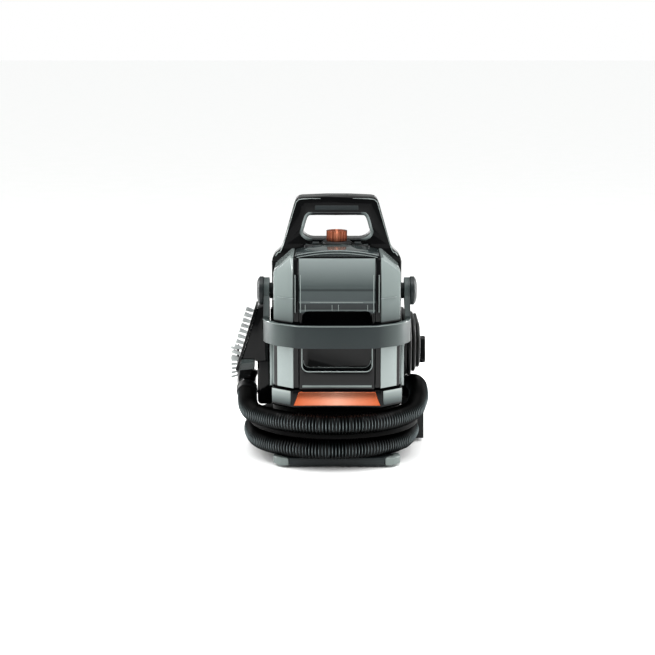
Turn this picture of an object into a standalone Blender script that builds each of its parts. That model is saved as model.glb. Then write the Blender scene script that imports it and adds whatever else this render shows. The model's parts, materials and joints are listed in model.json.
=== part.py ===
"""Portable carpet cleaner: a spool-shaped base that the hose winds round, a smoked recovery tank
with a bail handle in front, a clean water tank behind, and a carrying arch over the middle.
Metres, +Z up, front of the machine towards -Y, origin under the centre of the base."""
import math

import bmesh
import bpy
from mathutils import Matrix, Vector

# Gaps between pieces
TOUCH = 0.0003
TURN = 0.0005
SLIDE = 0.0010
WALL = 0.003

# Hose, which sets the heights of the base
HOSE_RADIUS = 0.0155
LOWER_WRAP_RADIUS = 0.122
UPPER_WRAP_RADIUS = 0.134
LOWER_WRAP_X = -0.008
UPPER_WRAP_X = -0.004
WRAP_CENTRE_Y = 0.030
PORT_Y = 0.028

# Base
FOOT_HEIGHT = 0.003
FOOT_RADIUS = 0.009
FOOT_X = 0.069
FOOT_Y = 0.120
BOSS_RADIUS = 0.035
PAN_HALF_WIDTH = 0.084
PAN_HALF_DEPTH = 0.142
PAN_NOSE = 0.072
PAN_CHAMFER = 0.016
PAN_HEIGHT = 0.0125
LEDGE_HEIGHT = 0.0063
SKID_WIDTH = 0.0127
SKID_RETURN = 0.033
SHELF_HEIGHT = 0.008
WAIST_RADIUS = 0.095
COLLAR_RADIUS = 0.100
DECK_HEIGHT = 0.0295
DECK_HALF_WIDTH = 0.0985
DECK_HALF_DEPTH = 0.148
DECK_NOSE = 0.067
DECK_FACET = 0.028
PORT_DEPTH = 0.034
PORT_TOP = 0.0722
PORT_OUTER = 0.141
PORT_CHAMFER = 0.008
GRILLE_HALF_WIDTH = 0.040
GRILLE_SLOTS = 7
GRILLE_PITCH = 0.011
SLOT_HALF_WIDTH = 0.0022
GUIDE_DEPTH = 0.046
GUIDE_HEIGHT = 0.066

# Works inside the base
WORKS_Y = 0.015
MOTOR_RADIUS = 0.040
MOTOR_HEIGHT = 0.042
FAN_RADIUS = 0.046
IMPELLER_RADIUS = 0.040
SHAFT_RADIUS = 0.0045
PUMP_RADIUS = 0.014
PUMP_HALF_LENGTH = 0.023
PUMP_PLACE = (0.062, -0.040)
HEATER_LOW = (-0.080, -0.072)
HEATER_HIGH = (-0.048, -0.012)
HEATER_HEIGHT = 0.034
BOARD_HALF_WIDTH = 0.030
BOARD_Y = -0.096
BOARD_THICKNESS = 0.0016
BOARD_HEIGHT = 0.040

# Recovery tank
TANK_HEIGHT = 0.198
TANK_HALF_WIDTH = 0.0955
TANK_FRONT = 0.1495
TANK_CHAMFER = 0.023
TANK_TOP_HALF = 0.070
PANEL_HALF = 0.056
GROOVE_WIDTH = 0.009
GROOVE_DEPTH = 0.004
POCKET_HALF_WIDTH = 0.052
POCKET_DEPTH = 0.024
POCKET_RISE = 0.029
POCKET_HEIGHT = 0.091
MOUTH_HALF_WIDTH = 0.054
MOUTH_FRONT = 0.128
MOUTH_DEPTH = 0.056
LID_HEIGHT = 0.0035
LID_CROWN = 0.0065
SEAL_RIM = 0.006
INTAKE_PLACE = (-0.022, -0.070)
INTAKE_RADIUS = 0.013
FLOAT_PLACE = (0.044, -0.098)
FLOAT_RADIUS = 0.014
FLOAT_HEIGHT = 0.024

# Bail handle
PIVOT_Y = -0.060
PIVOT_DROP = 0.060
PIN_RADIUS = 0.005
BOSS_LENGTH = 0.0072
BAIL_EYE_RADIUS = 0.0205
BAIL_ARM = 0.0085
BAIL_BAND_HEIGHT = 0.034
BAIL_BAND_DROP = 0.037
BAIL_THICKNESS = 0.006
CAP_LENGTH = 0.0105

# Housing and carrying arch
HOUSING_HALF_WIDTH = 0.1018
HOUSING_FRONT = -0.015
HOUSING_REAR = 0.038
HOUSING_HEIGHT = 0.177
ARCH_HEIGHT = 0.102
ARCH_TOP_HALF = 0.0625
ARCH_NECK_HALF = 0.0865
OPENING_HALF = 0.056
OPENING_HEIGHT = 0.041
OPENING_TOP_HALF = 0.047
GRIP_THICKNESS = 0.0265
TOOL_REST_LOW = 0.160
TOOL_REST_HIGH = 0.222
CONTROL_HALF_WIDTH = 0.050
CONTROL_DEPTH = 0.047
CONTROL_HEIGHT = 0.0085
DIAL_Y = -0.040
DIAL_RADIUS = 0.016
DIAL_HEIGHT = 0.0155
DIAL_COLLAR_RADIUS = 0.0235
DIAL_COLLAR_HEIGHT = 0.0045
ROCKER_X = 0.0325
ROCKER_HALF_WIDTH = 0.005
ROCKER_HALF_LENGTH = 0.0095

# Clean water tank
CLEAN_HALF_WIDTH = 0.088
CLEAN_DEPTH = 0.108
CLEAN_HEIGHT = 0.176
CLEAN_MOUTH_RADIUS = 0.015
VALVE_RADIUS = 0.009

# Power cord and its wrap
CORD_RADIUS = 0.0034
CORD_PITCH = 0.0070
PLUG_LENGTH = 0.043
COIL_Y = 0.030
COIL_Z = 0.165
COIL_STRAIGHT = 0.035
COIL_INNER = 0.0215
COIL_LAYERS = (4, 4, 3, 2)
WRAP_X = HOUSING_HALF_WIDTH + TOUCH
HOOK_LENGTH = 0.034
HOOK_THICKNESS = 0.0105

# Spotting tool, hung on the left side
TOOL_TOP = (-0.127, 0.232)
TOOL_FOOT = (-0.158, 0.133)
TOOL_FRONT = -0.048
TOOL_WIDTH = 0.060
BRUSH_PLATE = 0.004
BRISTLE_BASE = 0.0012
BRISTLE_LENGTH = 0.0125
CUFF_WALL = 0.0011
CUFF_LENGTH = 0.012
TRIGGER_X = (-0.136, -0.118)
TRIGGER_Z = 0.176
TRIGGER_REACH = 0.035

# Heights and depths that follow from the sizes above
PAN_Z = FOOT_HEIGHT + TOUCH
PAN_TOP = PAN_Z + PAN_HEIGHT
LOWER_WRAP_Z = PAN_TOP + TOUCH + HOSE_RADIUS
SHELF_Z = LOWER_WRAP_Z + HOSE_RADIUS + 0.0022
SHELF_TOP = SHELF_Z + SHELF_HEIGHT
UPPER_WRAP_Z = SHELF_TOP + TOUCH + HOSE_RADIUS
DECK_Z = UPPER_WRAP_Z + HOSE_RADIUS + 0.0032
DECK_TOP = DECK_Z + DECK_HEIGHT
TANK_Z = DECK_TOP + SLIDE
TANK_TOP = TANK_Z + TANK_HEIGHT
LID_Z = TANK_TOP + 0.0022
PIVOT_Z = TANK_TOP - PIVOT_DROP
HOUSING_Z = DECK_TOP + TOUCH
HOUSING_TOP = HOUSING_Z + HOUSING_HEIGHT
ARCH_Z = HOUSING_TOP + TOUCH
ARCH_TOP = ARCH_Z + ARCH_HEIGHT
CONTROL_Z = TANK_TOP + 0.0016
CONTROL_TOP = CONTROL_Z + CONTROL_HEIGHT
TANK_REAR = HOUSING_FRONT - 0.003
CLEAN_FRONT = HOUSING_REAR + 0.0015
CLEAN_REAR = CLEAN_FRONT + CLEAN_DEPTH
EYE_X = TANK_HALF_WIDTH + TOUCH + BOSS_LENGTH + TURN
CAP_X = EYE_X + BAIL_ARM + TOUCH

# The hose's own route: out of the port, once round the base, then over the port and round to the tool
HOSE_ROUTE = (
    (0.1140, 0.0097, 0.0316), (0.1140, -0.0060, 0.0316), (0.1140, -0.0300, 0.0316),
    (0.0977, -0.0910, 0.0316), (0.0530, -0.1357, 0.0316), (-0.0080, -0.1520, 0.0316),
    (-0.0690, -0.1357, 0.0316), (-0.1137, -0.0910, 0.0316), (-0.1300, -0.0300, 0.0316),
    (-0.1300, 0.0300, 0.0316), (-0.1137, 0.0910, 0.0316), (-0.0690, 0.1357, 0.0330),
    (-0.0080, 0.1540, 0.0410), (0.0500, 0.1440, 0.0540), (0.0870, 0.1280, 0.0640),
    (0.1100, 0.1010, 0.0755), (0.1225, 0.0680, 0.0875), (0.1290, 0.0300, 0.0925),
    (0.1303, -0.0050, 0.0900), (0.1270, -0.0450, 0.0830), (0.1120, -0.0970, 0.0768),
    (0.0630, -0.1460, 0.0735), (-0.0040, -0.1640, 0.0731), (-0.0710, -0.1460, 0.0731),
    (-0.1200, -0.0980, 0.0733), (-0.1370, -0.0600, 0.0775), (-0.1410, -0.0280, 0.0930),
)
# The power cord's lead to the coil, and its tail from the coil to the plug
LEAD_ROUTE = (
    (0.0930, 0.0630, 0.1755), (0.0930, 0.0680, 0.1755), (0.0930, 0.0801, 0.1723),
    (0.0931, 0.0890, 0.1634), (0.0934, 0.0922, 0.1513), (0.0941, 0.0890, 0.1392),
    (0.0953, 0.0801, 0.1304), (0.0970, 0.0680, 0.1272), (0.0986, 0.0560, 0.1265),
)
TAIL_ROUTE = (
    (0.1280, 0.0890, 0.1970), (0.1280, 0.1005, 0.1920), (0.1270, 0.1125, 0.1812),
    (0.1250, 0.1210, 0.1670), (0.1230, 0.1245, 0.1530), (0.1230, 0.1250, 0.1430),
)

MATERIALS = {}


def material(name, red, green, blue, roughness, metallic=0.0):
    """A painted, moulded or plated finish."""
    if name not in MATERIALS:
        finish = bpy.data.materials.new(name)
        finish.use_nodes = True
        shader = finish.node_tree.nodes["Principled BSDF"]
        shader.inputs["Base Color"].default_value = (red, green, blue, 1.0)
        shader.inputs["Roughness"].default_value = roughness
        shader.inputs["Metallic"].default_value = metallic
        finish.diffuse_color = (red, green, blue, 1.0)
        MATERIALS[name] = finish
    return MATERIALS[name]


def gloss_black():
    return material("gloss_black_abs", 0.004, 0.004, 0.005, 0.12)


def satin_black():
    return material("satin_black_abs", 0.010, 0.011, 0.012, 0.35)


def slate():
    return material("slate_grey_abs", 0.055, 0.070, 0.072, 0.32)


def silver():
    return material("silver_grey_abs", 0.55, 0.60, 0.59, 0.30, 0.2)


def copper():
    return material("copper_plate", 0.75, 0.32, 0.20, 0.22, 1.0)


def smoked():
    return material("smoked_tank_plastic", 0.10, 0.12, 0.12, 0.10)


def soft_rubber():
    return material("black_rubber", 0.012, 0.012, 0.012, 0.75)


def bristle():
    return material("grey_bristle", 0.45, 0.48, 0.48, 0.7)


def machine_metal():
    return material("zinc_plated_steel", 0.45, 0.46, 0.47, 0.35, 1.0)


# Solids

def finish(name, mesh, finish_material, origin=(0, 0, 0), parent=None, smooth=35):
    """Turn a bmesh in world space into a named object whose origin is at the given point."""
    bmesh.ops.recalc_face_normals(mesh, faces=mesh.faces)
    data = bpy.data.meshes.new(name)
    mesh.to_mesh(data)
    mesh.free()
    data.transform(Matrix.Translation(-Vector(origin)))
    data.shade_smooth()
    data.set_sharp_from_angle(angle=math.radians(smooth))
    data.materials.append(finish_material)
    piece = bpy.data.objects.new(name, data)
    bpy.context.scene.collection.objects.link(piece)
    piece.location = origin
    if parent is not None:
        piece.parent = parent
        piece.location = Vector(origin) - parent_place(parent)
    return piece


def parent_place(item):
    """World position of an unturned empty."""
    place = Vector(item.location)
    while item.parent is not None:
        item = item.parent
        place += item.location
    return place


def frame(name, origin, parent=None):
    """An empty on a joint's axis that the moving pieces hang from."""
    item = bpy.data.objects.new(name, None)
    item.empty_display_size = 0.03
    bpy.context.scene.collection.objects.link(item)
    item.location = origin
    if parent is not None:
        item.parent = parent
        item.location = Vector(origin) - parent_place(parent)
    return item


def loft(levels):
    """A closed solid through outlines of equal point count, each at its height."""
    mesh = bmesh.new()
    rings = []
    for height, outline in levels:
        rings.append([mesh.verts.new((x, y, height)) for x, y in outline])
    for lower, upper in zip(rings, rings[1:]):
        for index in range(len(lower)):
            after = (index + 1) % len(lower)
            mesh.faces.new((lower[index], lower[after], upper[after], upper[index]))
    mesh.faces.new(list(reversed(rings[0])))
    mesh.faces.new(rings[-1])
    return mesh


def prism(outline, start, end, axis="Z"):
    """An outline pushed from start to end along an axis. The outline is in (y, z) along X,
    in (x, z) along Y and in (x, y) along Z."""
    mesh = loft([(start, outline), (end, outline)])
    for vert in mesh.verts:
        across, up, along = vert.co
        if axis == "X":
            vert.co = (along, across, up)
        elif axis == "Y":
            vert.co = (across, along, up)
    return mesh


def box(low, high):
    outline = ((low[0], low[1]), (high[0], low[1]), (high[0], high[1]), (low[0], high[1]))
    return prism(outline, low[2], high[2])


def turned(profile, centre, axis="Z", segments=24):
    """A profile of (radius, distance along the axis) turned about an axis through the centre."""
    mesh = bmesh.new()
    rings = []
    for radius, along in profile:
        ring = []
        for k in range(1 if radius == 0 else segments):
            angle = math.tau * k / segments
            ring.append(mesh.verts.new((radius * math.cos(angle), radius * math.sin(angle), along)))
        rings.append(ring)
    pairs = list(zip(rings, rings[1:]))
    if profile[0][0] > 0:
        pairs.append((rings[-1], rings[0]))
    for first, second in pairs:
        for k in range(segments):
            after = (k + 1) % segments
            corners = []
            for ring, index in ((first, k), (first, after), (second, after), (second, k)):
                vert = ring[index % len(ring)]
                if vert not in corners:
                    corners.append(vert)
            if len(corners) > 2:
                mesh.faces.new(corners)
    turn = {
        "X": Matrix.Rotation(math.pi / 2, 4, "Y"),
        "Y": Matrix.Rotation(-math.pi / 2, 4, "X"),
        "Z": Matrix(),
    }
    mesh.transform(Matrix.Translation(centre) @ turn[axis])
    return mesh


def rounded_outline(half_width, front, rear, corner, centre_x=0.0, steps=6):
    """A rectangle with round corners, seen from above."""
    points = []
    corners = (
        (half_width - corner, rear - corner, 0),
        (corner - half_width, rear - corner, 90),
        (corner - half_width, front + corner, 180),
        (half_width - corner, front + corner, 270),
    )
    for x, y, start in corners:
        for k in range(steps + 1):
            angle = math.radians(start + 90 * k / steps)
            points.append((centre_x + x + corner * math.cos(angle), y + corner * math.sin(angle)))
    return points


def mirrored(right_side):
    """A closed outline from its right half, given from rear to front."""
    return list(right_side) + [(-x, y) for x, y in reversed(right_side)]


def racetrack(straight, radius, centre_y, centre_z, steps=8):
    """Two half circles joined by straights, in the YZ plane."""
    points = []
    for side, start in ((1, -90), (-1, 90)):
        for k in range(steps + 1):
            angle = math.radians(start + 180 * k / steps)
            y = centre_y + side * straight + radius * math.cos(angle)
            points.append((y, centre_z + radius * math.sin(angle)))
    return points


def softened(outline, reach, steps=3):
    """The same outline with each corner rounded, starting a reach before it at most."""
    points = []
    count = len(outline)
    for k in range(count):
        corner = Vector(outline[k])
        before = Vector(outline[k - 1]) - corner
        after = Vector(outline[(k + 1) % count]) - corner
        size = min(reach, before.length * 0.45, after.length * 0.45)
        start = corner + before.normalized() * size
        end = corner + after.normalized() * size
        for step in range(steps + 1):
            t = step / steps
            point = (1 - t) ** 2 * start + 2 * t * (1 - t) * corner + t * t * end
            points.append((point.x, point.y))
    return points


def smooth_route(route, per_span):
    """Points on a Catmull-Rom curve through the route's own points."""
    points = [Vector(p) for p in route]
    padded = [2 * points[0] - points[1]] + points + [2 * points[-1] - points[-2]]
    curve = []
    for a, b, c, d in zip(padded, padded[1:], padded[2:], padded[3:]):
        for k in range(per_span):
            t = k / per_span
            curve.append(0.5 * (2 * b + (c - a) * t + (2 * a - 5 * b + 4 * c - d) * t * t
                                + (3 * b - a - 3 * c + d) * t * t * t))
    curve.append(points[-1])
    return curve


def tube(name, points, radius, finish_material, resolution=2):
    """A solid round cord along the points, with filled ends."""
    data = bpy.data.curves.new(name, "CURVE")
    data.dimensions = "3D"
    data.bevel_depth = radius
    data.bevel_resolution = resolution
    data.use_fill_caps = True
    spline = data.splines.new("POLY")
    spline.points.add(len(points) - 1)
    for target, place in zip(spline.points, points):
        target.co = (place[0], place[1], place[2], 1.0)
    spline.use_smooth = True
    data.materials.append(finish_material)
    piece = bpy.data.objects.new(name, data)
    bpy.context.scene.collection.objects.link(piece)
    return piece


def combine(piece, mesh, operation, name):
    """Join a shape to a piece, or cut it away, with a hidden helper object."""
    helper = finish(piece.name + "_" + name, mesh, gloss_black())
    helper.hide_render = True
    helper.display_type = "WIRE"
    boolean = piece.modifiers.new(name, "BOOLEAN")
    boolean.operation = operation
    boolean.solver = "EXACT"
    boolean.object = helper
    return piece


def cut(piece, mesh, name="cut"):
    return combine(piece, mesh, "DIFFERENCE", name)


def join(piece, mesh, name="join"):
    return combine(piece, mesh, "UNION", name)


def ease(piece, width, segments=2, angle=40):
    """Round the sharp edges of a piece."""
    bevel = piece.modifiers.new("eased_edges", "BEVEL")
    bevel.width = width
    bevel.segments = segments
    bevel.limit_method = "ANGLE"
    bevel.angle_limit = math.radians(angle)
    return piece


def flip(mesh, side):
    """Mirror a right-hand shape to the left side."""
    if side < 0:
        mesh.transform(Matrix.Scale(-1, 4, (1, 0, 0)))
    return mesh


# Base

def pan_outline():
    right = (
        (PAN_NOSE, PAN_HALF_DEPTH), (PAN_HALF_WIDTH, PAN_HALF_DEPTH - PAN_CHAMFER),
        (PAN_HALF_WIDTH, PAN_CHAMFER - PAN_HALF_DEPTH), (PAN_NOSE, -PAN_HALF_DEPTH),
    )
    return mirrored(right)


def build_base_pan():
    """Floor of the machine, with a boss under the motor and a ledge that carries the hose."""
    pan = finish("base_pan", prism(pan_outline(), PAN_Z, PAN_TOP), satin_black())
    reach = LOWER_WRAP_RADIUS - 0.011
    ledge = rounded_outline(reach, -WRAP_CENTRE_Y - reach, WRAP_CENTRE_Y + reach, reach, UPPER_WRAP_X, 9)
    join(pan, prism(ledge, PAN_TOP - LEDGE_HEIGHT, PAN_TOP), "ledge")
    boss_top = PAN_Z + 0.002
    boss = turned(((0, 0), (BOSS_RADIUS, 0), (BOSS_RADIUS, boss_top), (0, boss_top)), (0, 0, 0))
    join(pan, boss, "boss")
    for number, (x, y) in enumerate(((-1, -1), (1, -1), (-1, 1), (1, 1)), start=1):
        rim = ((FOOT_RADIUS - 0.001, 0), (FOOT_RADIUS, 0.001), (FOOT_RADIUS, FOOT_HEIGHT))
        profile = ((0, 0),) + rim + ((0, FOOT_HEIGHT),)
        pad = turned(profile, (x * FOOT_X, y * FOOT_Y, 0), segments=16)
        finish("rubber_foot_%d" % number, pad, soft_rubber())


def build_skids():
    """Pale corner skids that wrap the front corners of the pan."""
    inner = PAN_HALF_WIDTH + TOUCH
    outer = inner + SKID_WIDTH
    front = -PAN_HALF_DEPTH
    right = (
        (PAN_NOSE + 2 * TOUCH, front - TOUCH), (PAN_NOSE + 0.014, front + 0.0005),
        (outer, front + PAN_CHAMFER), (outer - 0.001, front + SKID_RETURN),
        (inner, front + SKID_RETURN), (inner, front + PAN_CHAMFER),
    )
    for side, name in ((-1, "left"), (1, "right")):
        skid = finish("base_skid_" + name, flip(prism(right, PAN_Z, PAN_TOP), side), silver())
        ease(skid, 0.0015, 1)


def waist_outline(radius):
    return rounded_outline(radius, -WRAP_CENTRE_Y - radius, WRAP_CENTRE_Y + radius, radius - 0.0005, 0.0, 8)


def build_lower_housing():
    """Spool-shaped shell round the motor, open underneath and closed by the pan."""
    base = PAN_TOP + TOUCH
    step = SHELF_TOP + TOUCH
    top = DECK_Z - TOUCH
    shell = loft((
        (base, waist_outline(WAIST_RADIUS)), (step, waist_outline(WAIST_RADIUS)),
        (step + 0.003, waist_outline(COLLAR_RADIUS)), (top, waist_outline(COLLAR_RADIUS)),
    ))
    housing = finish("lower_housing", shell, satin_black())
    hollow = prism(waist_outline(WAIST_RADIUS - WALL), base - 0.01, top - WALL)
    cut(housing, hollow, "hollow")


def build_hose_shelf():
    """Horseshoe shelf between the two turns of the hose."""
    outer_radius = UPPER_WRAP_RADIUS - 0.002
    steps = 18
    inner_radius = (WAIST_RADIUS + 2 * TOUCH) / math.cos(math.pi / (2 * steps))
    end = 0.018
    outer = []
    inner = []
    for k in range(steps + 1):
        angle = math.pi * k / steps
        across = math.cos(angle)
        forward = math.sin(angle)
        outer.append((UPPER_WRAP_X + outer_radius * across, -WRAP_CENTRE_Y - outer_radius * forward))
        inner.append((inner_radius * across, -WRAP_CENTRE_Y - inner_radius * forward))
    outline = [(outer[0][0], end)] + outer + [(outer[-1][0], end), (inner[-1][0], end)]
    outline += list(reversed(inner)) + [(inner[0][0], end)]
    finish("hose_shelf", prism(outline, SHELF_Z, SHELF_TOP), satin_black())


def deck_outline(inset=0.0):
    half = DECK_HALF_WIDTH - inset
    deep = DECK_HALF_DEPTH - inset
    nose = DECK_NOSE - inset * 0.4
    facet = DECK_FACET - inset * 0.4
    return mirrored(((nose, deep), (half, deep - facet), (half, facet - deep), (nose, -deep)))


def build_tank_deck():
    """Deck that both tanks stand on, hollow underneath."""
    levels = ((DECK_Z, deck_outline(0.005)), (DECK_Z + 0.004, deck_outline()), (DECK_TOP, deck_outline()))
    deck = finish("tank_deck", loft(levels), gloss_black())
    cut(deck, prism(deck_outline(0.008), DECK_Z - 0.005, DECK_TOP - WALL), "hollow")
    valve_y = CLEAN_FRONT + CLEAN_DEPTH / 2
    bore = VALVE_RADIUS + 0.003
    hole = turned(((0, 0), (bore, 0), (bore, 0.02), (0, 0.02)), (0, valve_y, DECK_TOP - 0.01))
    cut(deck, hole, "valve_hole")


def build_badge():
    """Blank copper plate on the nose of the deck."""
    face = -DECK_HALF_DEPTH - TOUCH
    top = DECK_TOP - 0.0015
    bottom = DECK_Z + 0.0065
    half = DECK_NOSE - 0.0015
    outline = ((-half, bottom), (half, bottom), (half - 0.008, top), (0.008 - half, top))
    plate = finish("badge_plate", prism(outline, face - 0.002, face, "Y"), copper())
    ease(plate, 0.0012, 2)


def build_toe_trims():
    """Silver plates on the slanted front corners of the deck."""
    start = Vector((DECK_NOSE, -DECK_HALF_DEPTH))
    end = Vector((DECK_HALF_WIDTH, DECK_FACET - DECK_HALF_DEPTH))
    along = (end - start).normalized()
    out = Vector((along.y, -along.x))
    length = (end - start).length
    corners = (
        start + along * 0.003 + out * TOUCH, start + along * 0.004 + out * 0.0025,
        start + along * (length - 0.002) + out * 0.0025, start + along * (length - 0.001) + out * TOUCH,
    )
    outline = [(c.x, c.y) for c in corners]
    for side, name in ((-1, "left"), (1, "right")):
        trim = flip(prism(outline, DECK_Z + 0.007, DECK_TOP - 0.001), side)
        finish("toe_trim_" + name, trim, silver())


def build_tank_guides():
    """Upright channels that steer the recovery tank onto the deck."""
    inner = TANK_HALF_WIDTH + SLIDE
    outer = HOUSING_HALF_WIDTH
    front = DECK_FACET - DECK_HALF_DEPTH + 0.009
    for side, name in ((-1, "left"), (1, "right")):
        low = (inner, front, DECK_TOP + TOUCH)
        high = (outer, front + GUIDE_DEPTH, DECK_TOP + GUIDE_HEIGHT)
        guide = finish("tank_guide_" + name, flip(box(low, high), side), silver())
        slot_low = (inner + 0.0022, front + 0.006, low[2] + 0.006)
        slot_high = (outer + 0.01, high[1] - 0.006, high[2] - 0.008)
        cut(guide, flip(box(slot_low, slot_high), side), "slot")


def build_hose_port():
    """Elbow block that the hose's fixed end plugs into, at the right rear."""
    waist = WAIST_RADIUS + 2 * TOUCH
    ledge = UPPER_WRAP_X + LOWER_WRAP_RADIUS - 0.011 + 2 * TOUCH
    collar = COLLAR_RADIUS + 2 * TOUCH
    low = FOOT_HEIGHT + 0.002
    base = PAN_TOP + TOUCH
    step = SHELF_TOP - 0.004
    outline = (
        (waist, base), (ledge, base), (ledge, low), (PORT_OUTER, low),
        (PORT_OUTER, PORT_TOP - PORT_CHAMFER), (PORT_OUTER - PORT_CHAMFER, PORT_TOP),
        (collar + 0.004, PORT_TOP), (collar + 0.004, step), (waist, step),
    )
    port = finish("hose_port", prism(outline, PORT_Y, PORT_Y + PORT_DEPTH, "Y"), slate())
    start = HOSE_ROUTE[0]
    cuff = HOSE_RADIUS + CUFF_WALL
    length = PORT_Y + 0.005 - start[1] - TOUCH
    profile = ((0, 0), (cuff - 0.001, 0), (cuff, 0.001), (cuff, length), (0, length))
    join(port, turned(profile, (start[0], start[1] + TOUCH, start[2]), "Y"), "cuff")


def build_exhaust_grille():
    """Slotted plate on the back of the deck where the motor's air leaves."""
    face = DECK_HALF_DEPTH + TOUCH
    low = DECK_Z + 0.006
    high = DECK_TOP - 0.004
    plate = box((-GRILLE_HALF_WIDTH, face, low), (GRILLE_HALF_WIDTH, face + 0.002, high))
    grille = finish("exhaust_grille", plate, satin_black())
    for k in range(GRILLE_SLOTS):
        x = (k - (GRILLE_SLOTS - 1) / 2) * GRILLE_PITCH
        slot_low = (x - SLOT_HALF_WIDTH, face - 0.01, low + 0.003)
        slot_high = (x + SLOT_HALF_WIDTH, face + 0.01, high - 0.003)
        cut(grille, box(slot_low, slot_high), "slot_%d" % k)


# Works inside the base

def build_motor(floor, top):
    """Suction motor standing on the pan."""
    radius = MOTOR_RADIUS
    profile = (
        (0, floor), (radius - 0.004, floor), (radius, floor + 0.004), (radius, top - 0.004),
        (radius - 0.004, top), (0, top),
    )
    finish("vacuum_motor", turned(profile, (0, WORKS_Y, 0)), machine_metal())


def build_fan(low):
    """Fan case on the motor, open at the top, with the impeller turning inside it."""
    centre = (0, WORKS_Y, 0)
    top = DECK_Z - WALL - 0.001
    wall = 0.0025
    eye = 0.020
    case = (
        (SHAFT_RADIUS + 0.001, low), (FAN_RADIUS, low), (FAN_RADIUS, top), (eye, top), (eye, top - wall),
        (FAN_RADIUS - wall, top - wall), (FAN_RADIUS - wall, low + wall), (SHAFT_RADIUS + 0.001, low + wall),
    )
    finish("fan_housing", turned(case, centre), satin_black())
    disc = low + 0.0045
    disc_top = disc + 0.0015
    hub = (
        (0, low), (SHAFT_RADIUS, low), (SHAFT_RADIUS, disc), (IMPELLER_RADIUS, disc),
        (IMPELLER_RADIUS, disc_top), (0, disc_top),
    )
    impeller = finish("impeller", turned(hub, centre), machine_metal(), origin=(0, WORKS_Y, low))
    blade_tip = IMPELLER_RADIUS - 0.002
    teeth = []
    for k in range(24):
        angle = math.tau * k / 24
        radius = (blade_tip, blade_tip, 0.35 * IMPELLER_RADIUS)[k % 3]
        teeth.append((radius * math.cos(angle), WORKS_Y + radius * math.sin(angle)))
    join(impeller, prism(teeth, disc + 0.001, disc + 0.008), "blades")


def build_works():
    """Suction motor, fan, water pump, steam heater and circuit board."""
    floor = PAN_TOP + TOUCH
    motor_top = floor + MOTOR_HEIGHT
    build_motor(floor, motor_top)
    build_fan(motor_top + TOUCH)
    half = PUMP_HALF_LENGTH
    narrow = PUMP_RADIUS - 0.002
    pump = (
        (0, -half), (narrow, -half), (PUMP_RADIUS, 0.002 - half), (PUMP_RADIUS, half - 0.002),
        (narrow, half), (0, half),
    )
    pump_place = PUMP_PLACE + (floor + PUMP_RADIUS,)
    finish("water_pump", turned(pump, pump_place, "Y", 16), machine_metal())
    heater_mesh = box(HEATER_LOW + (floor,), HEATER_HIGH + (floor + HEATER_HEIGHT,))
    ease(finish("steam_heater", heater_mesh, machine_metal()), 0.004, 2)
    board_low = (-BOARD_HALF_WIDTH, BOARD_Y, floor)
    board_high = (BOARD_HALF_WIDTH, BOARD_Y + BOARD_THICKNESS, floor + BOARD_HEIGHT)
    green = material("circuit_board_green", 0.02, 0.12, 0.05, 0.5)
    finish("circuit_board", box(board_low, board_high), green)


# Recovery tank

def tank_outline(half_side, half_front, front, facet, rear, groove):
    """Faceted front with a narrow groove on each side of the middle panel."""
    depth = GROOVE_DEPTH if groove else 0.0
    outer = half_front + GROOVE_WIDTH
    right = (
        (half_side, rear), (half_side, front + facet), (outer + 0.0015, front + 0.0015),
        (outer, front + depth + 0.001), (half_front + 0.0015, front + depth), (half_front, front),
    )
    return mirrored(right)


def build_recovery_tank(parent):
    front = -TANK_FRONT
    shoulder = TANK_TOP - TANK_CHAMFER
    side = TANK_HALF_WIDTH
    shell = loft((
        (TANK_Z, tank_outline(side - 0.002, PANEL_HALF, front + 0.002, DECK_FACET, TANK_REAR, True)),
        (TANK_Z + 0.004, tank_outline(side, PANEL_HALF, front, DECK_FACET, TANK_REAR, True)),
        (shoulder, tank_outline(side, PANEL_HALF, front, DECK_FACET, TANK_REAR, True)),
        (TANK_TOP, tank_outline(TANK_TOP_HALF, PANEL_HALF, front + 0.0085, 0.012, TANK_REAR, True)),
    ))
    tank = finish("recovery_tank", shell, smoked(), origin=parent_place(parent), parent=parent)
    pocket_z = TANK_Z + POCKET_RISE
    pocket_top = pocket_z + POCKET_HEIGHT
    back = front + POCKET_DEPTH + WALL + 0.0005
    rear = TANK_REAR - WALL
    floor = TANK_Z + WALL
    inner = side - WALL
    roof = TANK_TOP - WALL - 0.0005
    hollow = loft((
        (floor, tank_outline(inner, PANEL_HALF, back, 0.006, rear, False)),
        (pocket_top + WALL, tank_outline(inner, PANEL_HALF, back, 0.006, rear, False)),
        (pocket_top + 0.012, tank_outline(inner, PANEL_HALF, front + 0.009, DECK_FACET - 0.006, rear, False)),
        (shoulder - 0.001, tank_outline(inner, PANEL_HALF, front + 0.009, DECK_FACET - 0.006, rear, False)),
        (roof, tank_outline(TANK_TOP_HALF - 0.004, PANEL_HALF, front + 0.014, 0.009, rear, False)),
    ))
    cut(tank, hollow, "hollow")
    half = POCKET_HALF_WIDTH
    pocket = ((-half, pocket_z), (half, pocket_z), (half, pocket_top), (-half, pocket_top))
    cut(tank, prism(softened(pocket, 0.010, 4), front - 0.01, front + POCKET_DEPTH, "Y"), "pocket")
    mouth_low = (-MOUTH_HALF_WIDTH, -MOUTH_FRONT, TANK_TOP - 0.006)
    mouth_high = (MOUTH_HALF_WIDTH, MOUTH_DEPTH - MOUTH_FRONT, TANK_TOP + 0.01)
    cut(tank, box(mouth_low, mouth_high), "mouth")


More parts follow.
